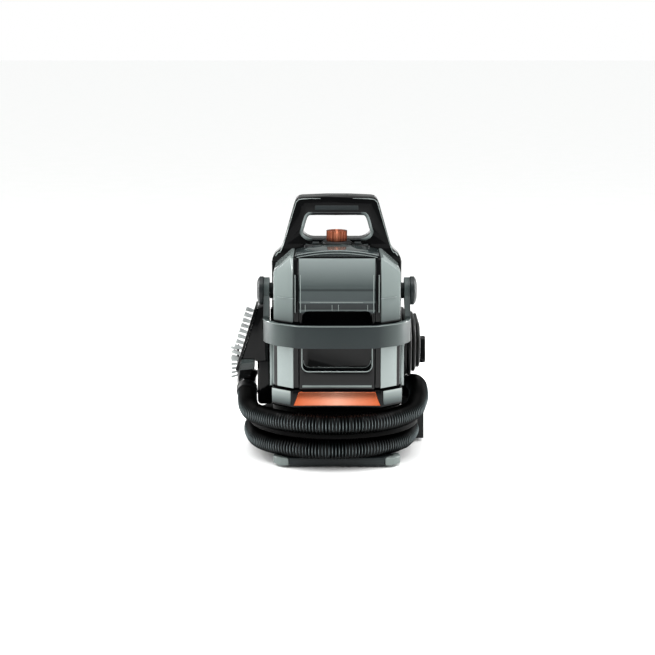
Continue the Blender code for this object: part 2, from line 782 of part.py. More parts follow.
def build_tank_lid(parent):
    """Seal and crowned visor lid over the tank's mouth."""
    place = parent_place(parent)
    half = MOUTH_HALF_WIDTH + SEAL_RIM
    low_y = -MOUTH_FRONT - SEAL_RIM
    high_y = MOUTH_DEPTH - MOUTH_FRONT + SEAL_RIM
    low_z = TANK_TOP + TOUCH
    high_z = LID_Z - TOUCH
    strip = box((-half, low_y, low_z), (half, high_y, high_z))
    seal = finish("tank_seal", strip, soft_rubber(), place, parent)
    inset = SEAL_RIM - 0.0005
    hole_low = (inset - half, low_y + inset, low_z - 0.01)
    hole_high = (half - inset, high_y - inset, high_z + 0.01)
    cut(seal, box(hole_low, hole_high), "hole")
    reach = half + 0.0025
    points = [(-reach, LID_Z), (reach, LID_Z), (reach, LID_Z + LID_HEIGHT)]
    for k in range(1, 12):
        share = 1 - k / 6
        points.append((reach * share, LID_Z + LID_HEIGHT + LID_CROWN * (1 - share * share)))
    points.append((-reach, LID_Z + LID_HEIGHT))
    rear_y = min(high_y, HOUSING_FRONT - CONTROL_DEPTH - SLIDE - TOUCH)
    lid = finish("tank_lid", prism(points, low_y - 0.004, rear_y, "Y"), smoked(), place, parent)
    ease(lid, 0.0012, 2)


def build_tank_works(parent):
    """Intake tube, and the float that shuts the suction when the tank is full."""
    floor = TANK_Z + WALL + TOUCH
    place = parent_place(parent)
    tube_top = TANK_TOP - 0.030
    bore_radius = INTAKE_RADIUS - 0.002
    bore = ((bore_radius, floor), (INTAKE_RADIUS, floor), (INTAKE_RADIUS, tube_top), (bore_radius, tube_top))
    finish("intake_tube", turned(bore, INTAKE_PLACE + (0,)), smoked(), place, parent)
    rod_top = TANK_TOP - 0.0055
    rod = ((0, floor), (0.0025, floor), (0.0025, rod_top), (0, rod_top))
    finish("float_rod", turned(rod, FLOAT_PLACE + (0,), segments=12), silver(), place, parent)
    rest = FLOAT_PLACE + (floor + 0.004,)
    lift = frame("float_frame", rest, parent)
    radius = FLOAT_RADIUS
    body = (
        (0.0030, 0), (radius - 0.002, 0), (radius, 0.003), (radius, FLOAT_HEIGHT - 0.003),
        (radius - 0.002, FLOAT_HEIGHT), (0.0030, FLOAT_HEIGHT),
    )
    white = material("float_white", 0.7, 0.7, 0.68, 0.5)
    finish("float", turned(body, rest, segments=20), white, rest, lift)


def build_pivots(parent):
    """Ribbed bosses with the pins that the bail turns on."""
    for side, name in ((-1, "left"), (1, "right")):
        start = TANK_HALF_WIDTH + TOUCH
        reach = BOSS_LENGTH + TURN + BAIL_ARM - 0.0005
        boss = 0.012
        profile = (
            (0, 0), (boss, 0), (boss, BOSS_LENGTH),
            (PIN_RADIUS, BOSS_LENGTH), (PIN_RADIUS, reach), (0, reach),
        )
        pin = flip(turned(profile, (start, PIVOT_Y, PIVOT_Z), "X"), side)
        finish("pivot_pin_" + name, pin, satin_black(), parent_place(parent), parent)


# Bail handle

def bail_half_path():
    """Outer line of the band, from the arm's rear edge round to the front."""
    arm = EYE_X + BAIL_ARM
    front = -TANK_FRONT - 0.0205
    return (
        (arm, PIVOT_Y - 0.026), (arm, PIVOT_Y - 0.042), (arm - 0.004, PIVOT_Y - 0.058),
        (arm - 0.021, PIVOT_Y - 0.085), (0.058, front + 0.003), (0.030, front + 0.0006),
    )


def offset_inward(path, distance):
    """The same path, moved towards the tank."""
    result = []
    for index, point in enumerate(path):
        before = Vector(path[max(index - 1, 0)])
        after = Vector(path[min(index + 1, len(path) - 1)])
        along = (after - before).normalized()
        result.append((point[0] + along.y * distance, point[1] - along.x * distance))
    return result


def build_bail(parent):
    """Band across the front and two arms down from the pivots, in one moulding."""
    outer = bail_half_path()
    inner = offset_inward(outer, BAIL_THICKNESS)
    inner[0] = (EYE_X, outer[0][1])
    outline = list(outer) + [(-x, y) for x, y in reversed(outer)]
    outline += [(-x, y) for x, y in inner] + list(reversed(inner))
    band_top = PIVOT_Z - BAIL_BAND_DROP
    band = prism(outline, band_top - BAIL_BAND_HEIGHT, band_top)
    bail = finish("bail_handle", band, slate(), origin=(0, PIVOT_Y, PIVOT_Z), parent=parent)
    for side, name in ((-1, "left"), (1, "right")):
        eye = []
        for k in range(17):
            angle = math.radians(-20 + 215 * k / 16)
            y = PIVOT_Y + BAIL_EYE_RADIUS * math.cos(angle)
            eye.append((y, PIVOT_Z + BAIL_EYE_RADIUS * math.sin(angle)))
        foot = band_top - BAIL_BAND_HEIGHT + 0.002
        arm = eye + [
            (PIVOT_Y - 0.041, band_top + 0.004), (PIVOT_Y - 0.041, foot),
            (PIVOT_Y - 0.027, foot), (PIVOT_Y - 0.024, band_top + 0.006),
        ]
        join(bail, flip(prism(arm, EYE_X, EYE_X + BAIL_ARM, "X"), side), "arm_" + name)
        bore = PIN_RADIUS + 0.0001
        hole = turned(((0, 0), (bore, 0), (bore, 0.03), (0, 0.03)), (EYE_X - 0.01, PIVOT_Y, PIVOT_Z), "X")
        cut(bail, flip(hole, side), "eye_" + name)
    ease(bail, 0.0008, 1, 50)


def build_pivot_caps(parent):
    """Round knobs that cover the ends of the pins and turn with the bail."""
    radius = BAIL_EYE_RADIUS + 0.0015
    profile = (
        (0, 0), (radius - 0.001, 0), (radius, 0.001), (radius, 0.006), (radius - 0.004, 0.009),
        (radius - 0.010, CAP_LENGTH), (0, CAP_LENGTH),
    )
    for side, name in ((-1, "left"), (1, "right")):
        cap = flip(turned(profile, (CAP_X, PIVOT_Y, PIVOT_Z), "X"), side)
        finish("pivot_cap_" + name, cap, slate(), (0, PIVOT_Y, PIVOT_Z), parent)


# Housing and carrying arch

def build_main_housing():
    """Hollow tower between the tanks, open to the deck."""
    half = HOUSING_HALF_WIDTH
    outline = rounded_outline(half, HOUSING_FRONT, HOUSING_REAR, 0.007, steps=3)
    housing = finish("main_housing", prism(outline, HOUSING_Z, HOUSING_TOP), gloss_black())
    low = (WALL - half, HOUSING_FRONT + WALL, HOUSING_Z - 0.01)
    high = (half - WALL, HOUSING_REAR - WALL, HOUSING_TOP - WALL)
    cut(housing, box(low, high), "hollow")
    rest_low = (-half - 0.0024, HOUSING_FRONT + 0.008, TOOL_REST_LOW)
    rest_high = (0.002 - half, HOUSING_FRONT + 0.032, TOOL_REST_HIGH)
    join(housing, box(rest_low, rest_high), "tool_rest")


def arch_outline():
    """The arch seen from the front: square feet, then soft corners up to the grip."""
    half = HOUSING_HALF_WIDTH
    right = (
        (half, ARCH_Z + 0.001), (half - 0.003, ARCH_Z + 0.009), (ARCH_NECK_HALF, ARCH_Z + 0.019),
        (ARCH_TOP_HALF + 0.001, ARCH_TOP - 0.002), (0.020, ARCH_TOP),
    )
    upper = softened(mirrored(right), 0.009)
    feet = [point for point in upper if point[1] > ARCH_Z + 0.0012]
    return [(half, ARCH_Z)] + feet + [(-half, ARCH_Z)]


def opening_outline():
    bottom = ARCH_TOP - GRIP_THICKNESS - OPENING_HEIGHT
    top = ARCH_TOP - GRIP_THICKNESS
    right = (
        (OPENING_HALF - 0.013, bottom), (OPENING_HALF, bottom + 0.011), (OPENING_TOP_HALF, top),
    )
    return softened(mirrored(right), 0.009)


def build_handle_arch():
    """Carrying arch with shoulders and a hand opening."""
    arch = finish("handle_arch", prism(arch_outline(), HOUSING_FRONT, HOUSING_REAR, "Y"), gloss_black())
    cut(arch, prism(opening_outline(), HOUSING_FRONT - 0.01, HOUSING_REAR + 0.01, "Y"), "opening")
    ease(arch, 0.004, 3, 50)


def build_controls():
    """Control shelf in front of the arch, with the dial's collar."""
    front = HOUSING_FRONT - TOUCH - CONTROL_DEPTH
    low = (-CONTROL_HALF_WIDTH, front, CONTROL_Z)
    high = (CONTROL_HALF_WIDTH, HOUSING_FRONT - TOUCH, CONTROL_TOP)
    shelf = finish("control_shelf", box(low, high), gloss_black())
    ease(shelf, 0.002, 2)
    reach = ROCKER_HALF_LENGTH + 0.0011
    wide = ROCKER_HALF_WIDTH + 0.0006
    for side, name in ((-1, "left"), (1, "right")):
        x = side * ROCKER_X
        pocket_low = (x - wide, DIAL_Y - reach, CONTROL_TOP - 0.004)
        pocket_high = (x + wide, DIAL_Y + reach, CONTROL_TOP + 0.01)
        cut(shelf, box(pocket_low, pocket_high), "pocket_" + name)
    radius = DIAL_COLLAR_RADIUS
    height = DIAL_COLLAR_HEIGHT
    profile = ((0, 0), (radius, 0), (radius, height - 0.002), (radius - 0.003, height), (0, height))
    finish("dial_collar", turned(profile, (0, DIAL_Y, CONTROL_TOP + TOUCH), segments=32), satin_black())


def build_dial():
    """Fluted copper dial."""
    low = CONTROL_TOP + TOUCH + DIAL_COLLAR_HEIGHT + TURN
    axis = frame("dial_frame", (0, DIAL_Y, low))

    def ring(radius, flute):
        points = []
        for k in range(48):
            angle = math.tau * k / 48
            reach = radius + flute * math.cos(12 * angle)
            points.append((reach * math.cos(angle), DIAL_Y + reach * math.sin(angle)))
        return points

    top = low + DIAL_HEIGHT
    levels = (
        (low, ring(DIAL_RADIUS - 0.0005, 0.0)), (low + 0.002, ring(DIAL_RADIUS, 0.0)),
        (low + 0.003, ring(DIAL_RADIUS - 0.001, 0.0007)), (top - 0.002, ring(DIAL_RADIUS - 0.0015, 0.0007)),
        (top, ring(DIAL_RADIUS - 0.0035, 0.0004)),
    )
    finish("dial_knob", loft(levels), copper(), (0, DIAL_Y, low), axis)


def build_rockers():
    """Power and heat rocker buttons in the shelf's pockets."""
    z = CONTROL_TOP
    long = ROCKER_HALF_LENGTH
    outline = (
        (DIAL_Y - long, z - 0.0022), (DIAL_Y, z - 0.0028), (DIAL_Y + long, z - 0.0022),
        (DIAL_Y + long, z + 0.0022), (DIAL_Y, z + 0.0012), (DIAL_Y - long, z + 0.0022),
    )
    for side, name in ((-1, "power"), (1, "heat")):
        x = side * ROCKER_X
        axis = frame("rocker_%s_frame" % name, (x, DIAL_Y, z))
        body = prism(outline, x - ROCKER_HALF_WIDTH, x + ROCKER_HALF_WIDTH, "X")
        finish("rocker_" + name, body, slate(), (x, DIAL_Y, z), axis)


# Clean water tank

def build_clean_tank(parent):
    top = TANK_Z + CLEAN_HEIGHT
    half = CLEAN_HALF_WIDTH
    middle = CLEAN_FRONT + CLEAN_DEPTH / 2
    place = parent_place(parent)

    def ring(inset, corner):
        return rounded_outline(half - inset, CLEAN_FRONT + inset, CLEAN_REAR - inset, corner, steps=4)

    shell = loft((
        (TANK_Z, ring(0.002, 0.016)), (TANK_Z + 0.003, ring(0, 0.018)),
        (top - 0.010, ring(0, 0.018)), (top, ring(0.008, 0.012)),
    ))
    tank = finish("clean_tank", shell, smoked(), place, parent)
    hollow = loft((
        (TANK_Z + WALL, ring(WALL, 0.015)), (top - 0.012, ring(WALL, 0.015)),
        (top - WALL, ring(0.011, 0.009)),
    ))
    cut(tank, hollow, "hollow")
    bore = CLEAN_MOUTH_RADIUS
    cut(tank, turned(((0, 0), (bore, 0), (bore, 0.02), (0, 0.02)), (0, middle, top - 0.01)), "mouth")
    depth = 0.012
    valve = (
        (0, -depth), (VALVE_RADIUS - 0.002, -depth), (VALVE_RADIUS, 0.002 - depth),
        (VALVE_RADIUS, -TOUCH), (0, -TOUCH),
    )
    finish("tank_valve", turned(valve, (0, middle, TANK_Z), segments=16), soft_rubber(), place, parent)
    axis = frame("clean_cap_frame", (0, middle, top), parent)
    plug = bore - 0.0006
    profile = (
        (0, -0.0022), (plug, -0.0022), (plug, TURN), (bore + 0.005, TURN), (bore + 0.005, 0.010),
        (bore + 0.003, 0.012), (0, 0.012),
    )
    cap = finish("clean_tank_cap", turned(profile, (0, middle, top)), satin_black(), (0, middle, top), axis)
    cut(cap, box((-0.012, middle + 0.004, top + 0.007), (0.012, middle + 0.010, top + 0.02)), "finger_front")
    cut(cap, box((-0.012, middle - 0.010, top + 0.007), (0.012, middle - 0.004, top + 0.02)), "finger_rear")


# Power cord

def coil_radius(layers):
    return COIL_INNER + layers * CORD_PITCH


def build_cord():
    """Cord wrap with its coil, the lead from the housing and the tail to the plug."""
    coil_x = WRAP_X + 0.0009
    columns = len(COIL_LAYERS)
    core_end = coil_x + columns * CORD_PITCH + TOUCH
    core = prism(racetrack(COIL_STRAIGHT, COIL_INNER - 0.0008, COIL_Y, COIL_Z), WRAP_X, core_end, "X")
    finish("cord_wrap", core, satin_black())

    mesh = bmesh.new()
    rings = []
    stations = [(coil_x, COIL_INNER)]
    for column, layers in enumerate(COIL_LAYERS):
        stations.append((coil_x + column * CORD_PITCH, coil_radius(layers)))
        stations.append((coil_x + (column + 1) * CORD_PITCH, coil_radius(layers)))
    stations.append((coil_x + columns * CORD_PITCH, COIL_INNER))
    kept = [s for k, s in enumerate(stations) if k == 0 or s != stations[k - 1]]
    for x, radius in kept:
        rings.append([mesh.verts.new((x, y, z)) for y, z in racetrack(COIL_STRAIGHT, radius, COIL_Y, COIL_Z)])
    for first, second in zip(rings, rings[1:] + rings[:1]):
        for k in range(len(first)):
            after = (k + 1) % len(first)
            mesh.faces.new((first[k], first[after], second[after], second[k]))
    finish("cord_coil", mesh, soft_rubber())

    tube("cord_lead", smooth_route(LEAD_ROUTE, 2), CORD_RADIUS, soft_rubber())
    tube("cord_tail", smooth_route(TAIL_ROUTE, 2), CORD_RADIUS, soft_rubber())
    start = LEAD_ROUTE[0]
    length = start[1] - HOUSING_REAR - 3 * TOUCH
    gland = (
        (0, 0), (0.0075, 0), (0.0075, 0.004), (0.0055, 0.0045), (CORD_RADIUS + 0.0004, length), (0, length),
    )
    gland_place = (start[0], HOUSING_REAR + TOUCH, start[2])
    finish("cord_gland", turned(gland, gland_place, "Y", 16), soft_rubber())
    end = TAIL_ROUTE[-1]
    plug = (
        (0, 0), (0.0040, 0), (0.0050, -0.012), (0.0090, -0.018), (0.0100, -0.040),
        (0.0085, -PLUG_LENGTH), (0, -PLUG_LENGTH),
    )
    finish("power_plug", turned(plug, (end[0], end[1], end[2] - TOUCH), "Z", 16), soft_rubber())


def build_cord_hook(parent):
    """Quick-release hook that turns up to let the cord off."""
    start = WRAP_X + 0.0009 + len(COIL_LAYERS) * CORD_PITCH + 0.0008
    outline = []
    for step in range(10):
        angle = math.pi * step / 9
        outline.append((COIL_Y + 0.008 * math.cos(angle), COIL_Z + 0.008 * math.sin(angle)))
    foot = COIL_Z - HOOK_LENGTH
    outline += [(COIL_Y - 0.010, COIL_Z - 0.010), (COIL_Y - 0.014, foot + 0.004), (COIL_Y - 0.010, foot)]
    outline += [(COIL_Y + 0.010, foot), (COIL_Y + 0.014, foot + 0.004), (COIL_Y + 0.010, COIL_Z - 0.010)]
    hook = prism(outline, start, start + HOOK_THICKNESS, "X")
    hook = finish("cord_hook", hook, gloss_black(), (start, COIL_Y, COIL_Z), parent)
    ease(hook, 0.0020, 2)


# Hose and spotting tool

def build_hose():
    """Ribbed hose as a plain tube, and the cuff at the tool's end."""
    points = smooth_route(HOSE_ROUTE, 3)
    tube("hose", points, HOSE_RADIUS, soft_rubber(), 3)
    cuff = HOSE_RADIUS + CUFF_WALL
    end = points[-1]
    along = (points[-1] - points[-2]).normalized()
    reach = CUFF_LENGTH
    sleeve = turned(((0, 0), (cuff, 0), (cuff, reach), (0, reach)), (0, 0, 0))
    turn = along.to_track_quat("Z", "Y").to_matrix().to_4x4()
    sleeve.transform(Matrix.Translation(end + along * TOUCH) @ turn)
    finish("hose_cuff_tool", sleeve, gloss_black())
    return end + along * (reach + 2 * TOUCH), along


def tool_points():
    """Corners of the slanted brush line, and its direction and outward normal."""
    top = Vector(TOOL_TOP)
    foot = Vector(TOOL_FOOT)
    down = (foot - top).normalized()
    out = Vector((down.y, -down.x))
    return top, foot, down, out


def at_height(point, down, height):
    """Where the line through a point reaches a height."""
    share = (height - point.y) / down.y
    return (point.x + down.x * share, height)


def build_tool(start, along):
    """Spotting tool: brush plate, bristles, body, clear nozzle, elbow and trigger."""
    top, foot, down, out = tool_points()
    back = TOOL_FRONT + TOOL_WIDTH
    inner_top = top - out * (BRUSH_PLATE + TOUCH)
    inner_foot = foot - out * (BRUSH_PLATE + TOUCH)
    rest_x = -HOUSING_HALF_WIDTH - 0.0030
    split = foot.y + 0.017
    corner = at_height(inner_top, down, split + TOUCH)
    body = (
        tuple(inner_top), (rest_x - 0.003, TOOL_TOP[1] + 0.004), (rest_x, TOOL_TOP[1]),
        (rest_x, split - 0.004), (rest_x - 0.022, split - 0.004), (rest_x - 0.023, split + TOUCH), corner,
    )
    case = finish("tool_body", prism(body, TOOL_FRONT, back, "Y"), gloss_black())
    ease(case, 0.002, 2)
    nozzle = (
        at_height(inner_top, down, split - TOUCH), (rest_x - 0.0235, split - TOUCH),
        (rest_x - 0.0235, foot.y + 0.001), tuple(inner_foot),
    )
    clear = material("clear_nozzle", 0.35, 0.38, 0.38, 0.08)
    finish("tool_nozzle", prism(nozzle, TOOL_FRONT, back, "Y"), clear)
    plate = (tuple(top), tuple(foot), tuple(foot - out * BRUSH_PLATE), tuple(top - out * BRUSH_PLATE))
    finish("brush_plate", prism(plate, TOOL_FRONT - 0.003, back + 0.003, "Y"), silver())
    build_bristles(top, foot, down, out, back)
    build_edge_brush(back)
    points = [Vector(start), Vector(start) + along * 0.003, Vector(start) + along * 0.009]
    middle = points[-1]
    goal = Vector((middle.x + 0.004, middle.y + 0.006, foot.y - 0.0060))
    points.append(Vector((middle.x, middle.y + 0.0045, middle.z + 0.009)))
    points.append(goal)
    tube("tool_elbow", smooth_route(points, 3), HOSE_RADIUS - 0.0005, gloss_black(), 3)


def build_bristles(top, foot, down, out, back):
    """Rows of tufts standing on a thin strip."""
    length = (foot - top).length - 0.006
    start = top + down * 0.003 + out * TOUCH
    rows = 9
    tuft = length / rows
    outline = [tuple(start), tuple(start + out * BRISTLE_BASE)]
    for k in range(rows):
        near = start + down * (tuft * (k + 0.18))
        far = start + down * (tuft * (k + 0.82))
        outline += [
            tuple(near + out * BRISTLE_BASE), tuple(near + out * BRISTLE_LENGTH + down * 0.0008),
            tuple(far + out * BRISTLE_LENGTH - down * 0.0008), tuple(far + out * BRISTLE_BASE),
        ]
    outline += [tuple(start + down * length + out * BRISTLE_BASE), tuple(start + down * length)]
    bristles = finish("brush_bristles", prism(outline, TOOL_FRONT, back, "Y"), bristle())
    for k in range(1, 5):
        y = TOOL_FRONT + TOOL_WIDTH * k / 5
        direction = start + out * (BRISTLE_BASE + 0.0003)
        before = direction - down * 0.01
        after = direction + down * (length + 0.02)
        gap = (tuple(before), tuple(before + out * 0.03), tuple(after + out * 0.03), tuple(after))
        cut(bristles, prism(gap, y - 0.0018, y + 0.0018, "Y"), "gap_%d" % k)


def build_edge_brush(back):
    """Upright strip of longer bristles on the rear end of the brush plate."""
    edge = TOOL_FOOT[0]
    foot = TOOL_FOOT[1]
    tip = edge - 0.011
    comb = (
        (tip, foot - 0.030), (edge - 0.0022, foot - 0.030), (edge - 0.0022, foot - 0.004),
        (edge + 0.0025, foot), (edge + 0.0045, foot + 0.009), (edge - 0.0022, foot + 0.017),
        (tip + 0.002, foot + 0.030), (tip, foot + 0.030),
    )
    start = back + 0.003 + TOUCH
    finish("edge_brush", prism(comb, start, start + 0.018, "Y"), bristle())


def build_trigger(parent, pivot):
    y, z = pivot
    outline = (
        (y - 0.0025, z + 0.004), (y + 0.0025, z + 0.004),
        (y + 0.009, z - TRIGGER_REACH + 0.001), (y + 0.004, z - TRIGGER_REACH),
    )
    left, right = TRIGGER_X
    trigger = prism(outline, left, right, "X")
    finish("tool_trigger", trigger, silver(), ((left + right) / 2, y, z), parent)


# Whole machine

def main():
    for item in list(bpy.data.objects):
        bpy.data.objects.remove(item, do_unlink=True)
    build_base_pan()
    build_skids()
    build_lower_housing()
    build_hose_shelf()
    build_tank_deck()
    build_badge()
    build_toe_trims()
    build_tank_guides()
    build_hose_port()
    build_exhaust_grille()
    build_works()

    recovery = frame("recovery_tank_frame", (0, -TANK_FRONT, TANK_Z))
    build_recovery_tank(recovery)
    build_tank_lid(recovery)
    build_tank_works(recovery)
    build_pivots(recovery)
    swing = frame("bail_frame", (0, PIVOT_Y, PIVOT_Z), recovery)
    build_bail(swing)
    build_pivot_caps(swing)

    build_main_housing()
    build_handle_arch()
    build_controls()
    build_dial()
    build_rockers()
    build_clean_tank(frame("clean_tank_frame", (0, CLEAN_REAR, TANK_Z)))

    build_cord()
    build_cord_hook(frame("cord_hook_frame", (WRAP_X, COIL_Y, COIL_Z)))
    start, along = build_hose()
    build_tool(start, along)
    trigger_pivot = (TOOL_FRONT + TOOL_WIDTH + 0.0035, TRIGGER_Z)
    build_trigger(frame("trigger_frame", (sum(TRIGGER_X) / 2,) + trigger_pivot), trigger_pivot)


main()
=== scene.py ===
import json
import math
import random

import bmesh
import bpy
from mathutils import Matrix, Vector


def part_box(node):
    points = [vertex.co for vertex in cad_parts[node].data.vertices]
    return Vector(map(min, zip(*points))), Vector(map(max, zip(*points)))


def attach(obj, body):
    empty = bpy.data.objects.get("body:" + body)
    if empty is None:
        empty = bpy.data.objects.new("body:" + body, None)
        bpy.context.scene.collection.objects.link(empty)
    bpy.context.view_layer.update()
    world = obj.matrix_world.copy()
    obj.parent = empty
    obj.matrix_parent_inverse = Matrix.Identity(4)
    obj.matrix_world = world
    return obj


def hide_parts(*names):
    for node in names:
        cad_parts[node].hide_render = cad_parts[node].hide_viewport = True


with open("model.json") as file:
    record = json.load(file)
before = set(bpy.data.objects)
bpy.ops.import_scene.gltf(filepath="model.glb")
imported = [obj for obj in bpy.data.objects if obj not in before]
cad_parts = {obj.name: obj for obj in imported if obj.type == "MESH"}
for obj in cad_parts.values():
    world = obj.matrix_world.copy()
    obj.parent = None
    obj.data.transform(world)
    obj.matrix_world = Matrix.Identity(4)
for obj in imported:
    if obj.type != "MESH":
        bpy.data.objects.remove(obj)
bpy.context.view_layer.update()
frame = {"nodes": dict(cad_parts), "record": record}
nodes = frame["nodes"]
bodyOf = {name: body for body, names in frame["record"]["behaviour"]["bodies"].items() for name in names}
print("frame loaded:", len(nodes), "nodes")


def linear(hexColour):
    # sRGB hex to the linear colour a shader takes
    parts = [int(hexColour[i:i + 2], 16) / 255 for i in (1, 3, 5)]
    return [c / 12.92 if c <= 0.04045 else ((c + 0.055) / 1.055) ** 2.4 for c in parts] + [1.0]


def feed(material, target, *links):
    # joins (input, node, output) links to a node that is already there
    for name, source, output in links:
        material.node_tree.links.new(source.outputs[output], target.inputs[name])


def add(material, kind, links=(), stops=(), **settings):
    # one shader node: links are (input, node, output), stops are a colour ramp's (position, hex) pairs,
    # and settings are its inputs by name or its own properties
    made = material.node_tree.nodes.new(kind)
    for key, value in settings.items():
        if key in made.inputs:
            made.inputs[key].default_value = value
        else:
            setattr(made, key, value)
    feed(material, made, *links)
    if stops:
        for position, colour in stops[2:]:
            made.color_ramp.elements.new(position)
        for element, (position, colour) in zip(made.color_ramp.elements, stops):
            element.position = position
            element.color = linear(colour)
    return made


def newMaterial(name, **shaderValues):
    made = bpy.data.materials.new(name)
    made.use_nodes = True
    shader = made.node_tree.nodes["Principled BSDF"]
    for key, value in shaderValues.items():
        shader.inputs[key.replace("_", " ")].default_value = value
    return made, shader


def deselectAll():
    if bpy.context.object is not None and bpy.context.object.mode != "OBJECT":
        bpy.ops.object.mode_set(mode="OBJECT")
    bpy.ops.object.select_all(action="DESELECT")


def choose(*pieces):
    deselectAll()
    for piece in pieces:
        piece.select_set(True)
    bpy.context.view_layer.objects.active = pieces[0]


def applyAll(piece):
    choose(piece)
    for modifier in list(piece.modifiers):
        bpy.ops.object.modifier_apply(modifier=modifier.name)


def bevelled(piece, width, segments=3, angle=30):
    modifier = piece.modifiers.new("softEdges", "BEVEL")
    modifier.width = width
    modifier.segments = segments
    modifier.limit_method = "ANGLE"
    modifier.angle_limit = math.radians(angle)
    applyAll(piece)


def smoothed(piece, angle=35):
    choose(piece)
    bpy.ops.object.shade_smooth_by_angle(angle=math.radians(angle))


def placed(piece, name, body, material, angle=35):
    # gives a finished piece its name, surface and body, with its place in its mesh
    choose(piece)
    bpy.ops.object.transform_apply(location=True, rotation=True, scale=True)
    piece.name = name
    piece.data.name = name
    piece.data.materials.clear()
    piece.data.materials.append(material)
    smoothed(piece, angle)
    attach(piece, body)
    return piece


def joined(pieces):
    choose(*pieces)
    bpy.ops.object.join()
    return bpy.context.object


def copyOf(nodeName):
    # a working copy of a CAD node with its loose triangles merged and its flat faces whole again
    source = nodes[nodeName]
    piece = bpy.data.objects.new(nodeName + "Copy", source.data.copy())
    bpy.context.scene.collection.objects.link(piece)
    choose(piece)
    bpy.ops.object.mode_set(mode="EDIT")
    bpy.ops.mesh.select_all(action="SELECT")
    bpy.ops.mesh.remove_doubles(threshold=0.00001)
    bpy.ops.mesh.dissolve_limited(angle_limit=math.radians(2))
    bpy.ops.mesh.normals_make_consistent(inside=False)
    bpy.ops.object.mode_set(mode="OBJECT")
    return piece


def dressed(nodeName, name, material, width=0.0008, segments=3, bevelAngle=30, shadeAngle=35):
    # the CAD shape with real mould radii on its edges
    piece = copyOf(nodeName)
    if width > 0:
        bevelled(piece, width, segments, bevelAngle)
    placed(piece, name, bodyOf[nodeName], material, shadeAngle)
    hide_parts(nodeName)
    return piece


def block(low, high):
    # a cube primitive between two corners
    size = [b - a for a, b in zip(low, high)]
    middle = [(a + b) / 2 for a, b in zip(low, high)]
    deselectAll()
    bpy.ops.mesh.primitive_cube_add(size=1, location=middle, scale=size)
    bpy.ops.object.transform_apply(location=True, rotation=True, scale=True)
    return bpy.context.object


def ringBand(radius, thickness, centre):
    # a torus primitive round the X axis, used as a moulded ring
    deselectAll()
    bpy.ops.mesh.primitive_torus_add(major_radius=radius, minor_radius=thickness, major_segments=48,
                                     minor_segments=10, location=centre, rotation=(0, math.pi / 2, 0))
    bpy.ops.object.transform_apply(location=True, rotation=True, scale=True)
    return bpy.context.object


def smoothRoute(route, perSpan):
    # Catmull-Rom curve through the route's own points
    points = [Vector(p) for p in route]
    padded = [2 * points[0] - points[1]] + points + [2 * points[-1] - points[-2]]
    curve = []
    for a, b, c, d in zip(padded, padded[1:], padded[2:], padded[3:]):
        for k in range(perSpan):
            t = k / perSpan
            curve.append(0.5 * (2 * b + (c - a) * t + (2 * a - 5 * b + 4 * c - d) * t * t
                                + (3 * b - a - 3 * c + d) * t * t * t))
    curve.append(points[-1])
    return curve


def evenly(points, step):
    # the same line with points a fixed distance apart
    lengths = [0.0]
    for a, b in zip(points, points[1:]):
        lengths.append(lengths[-1] + (b - a).length)
    count = max(2, round(lengths[-1] / step))
    result = []
    index = 0
    for k in range(count + 1):
        along = lengths[-1] * k / count
        while index < len(points) - 2 and lengths[index + 1] < along:
            index += 1
        share = (along - lengths[index]) / (lengths[index + 1] - lengths[index])
        result.append(points[index].lerp(points[index + 1], share))
    return result, lengths[-1]


camera = {"distance": 2.6, "elevation": 10.0, "aim": (-0.0143, -0.030, 0.1970),
          "widthAtObject": 1.0250, "sensor": 36.0}

bpy.ops.object.camera_add()
eye = bpy.context.object
tilt = math.radians(camera["elevation"])
eye.location = Vector(camera["aim"]) + camera["distance"] * Vector((0, -math.cos(tilt), math.sin(tilt)))
eye.rotation_euler = (math.pi / 2 - tilt, 0, 0)
eye.data.sensor_width = camera["sensor"]
eye.data.lens = camera["sensor"] * camera["distance"] / camera["widthAtObject"]
bpy.context.scene.camera = eye
print("camera set")


def pianoBlackAbs():
    # ABS from a mirror-polished tool: almost black, with clear reflections and a slow ripple from shrinkage
    made, shader = newMaterial("polishedBlackAbs", Roughness=0.07, IOR=1.5, Specular_IOR_Level=0.16)
    place = add(made, "ShaderNodeTexCoord")
    ripple = add(made, "ShaderNodeTexNoise", [("Vector", place, "Object")], Scale=28.0, Detail=2.0)
    colour = add(made, "ShaderNodeValToRGB", [("Fac", ripple, "Fac")], [(0.3, "#040405"), (0.7, "#08090a")])
    bump = add(made, "ShaderNodeBump", [("Height", ripple, "Fac")], Strength=0.04, Distance=0.002)
    dust = add(made, "ShaderNodeTexNoise", [("Vector", place, "Object")], Scale=320.0, Detail=3.0)
    rough = add(made, "ShaderNodeMapRange", [("Value", dust, "Fac")], **{"To Min": 0.05, "To Max": 0.13})
    feed(made, shader, ("Base Color", colour, "Color"), ("Roughness", rough, "Result"),
         ("Normal", bump, "Normal"))
    return made


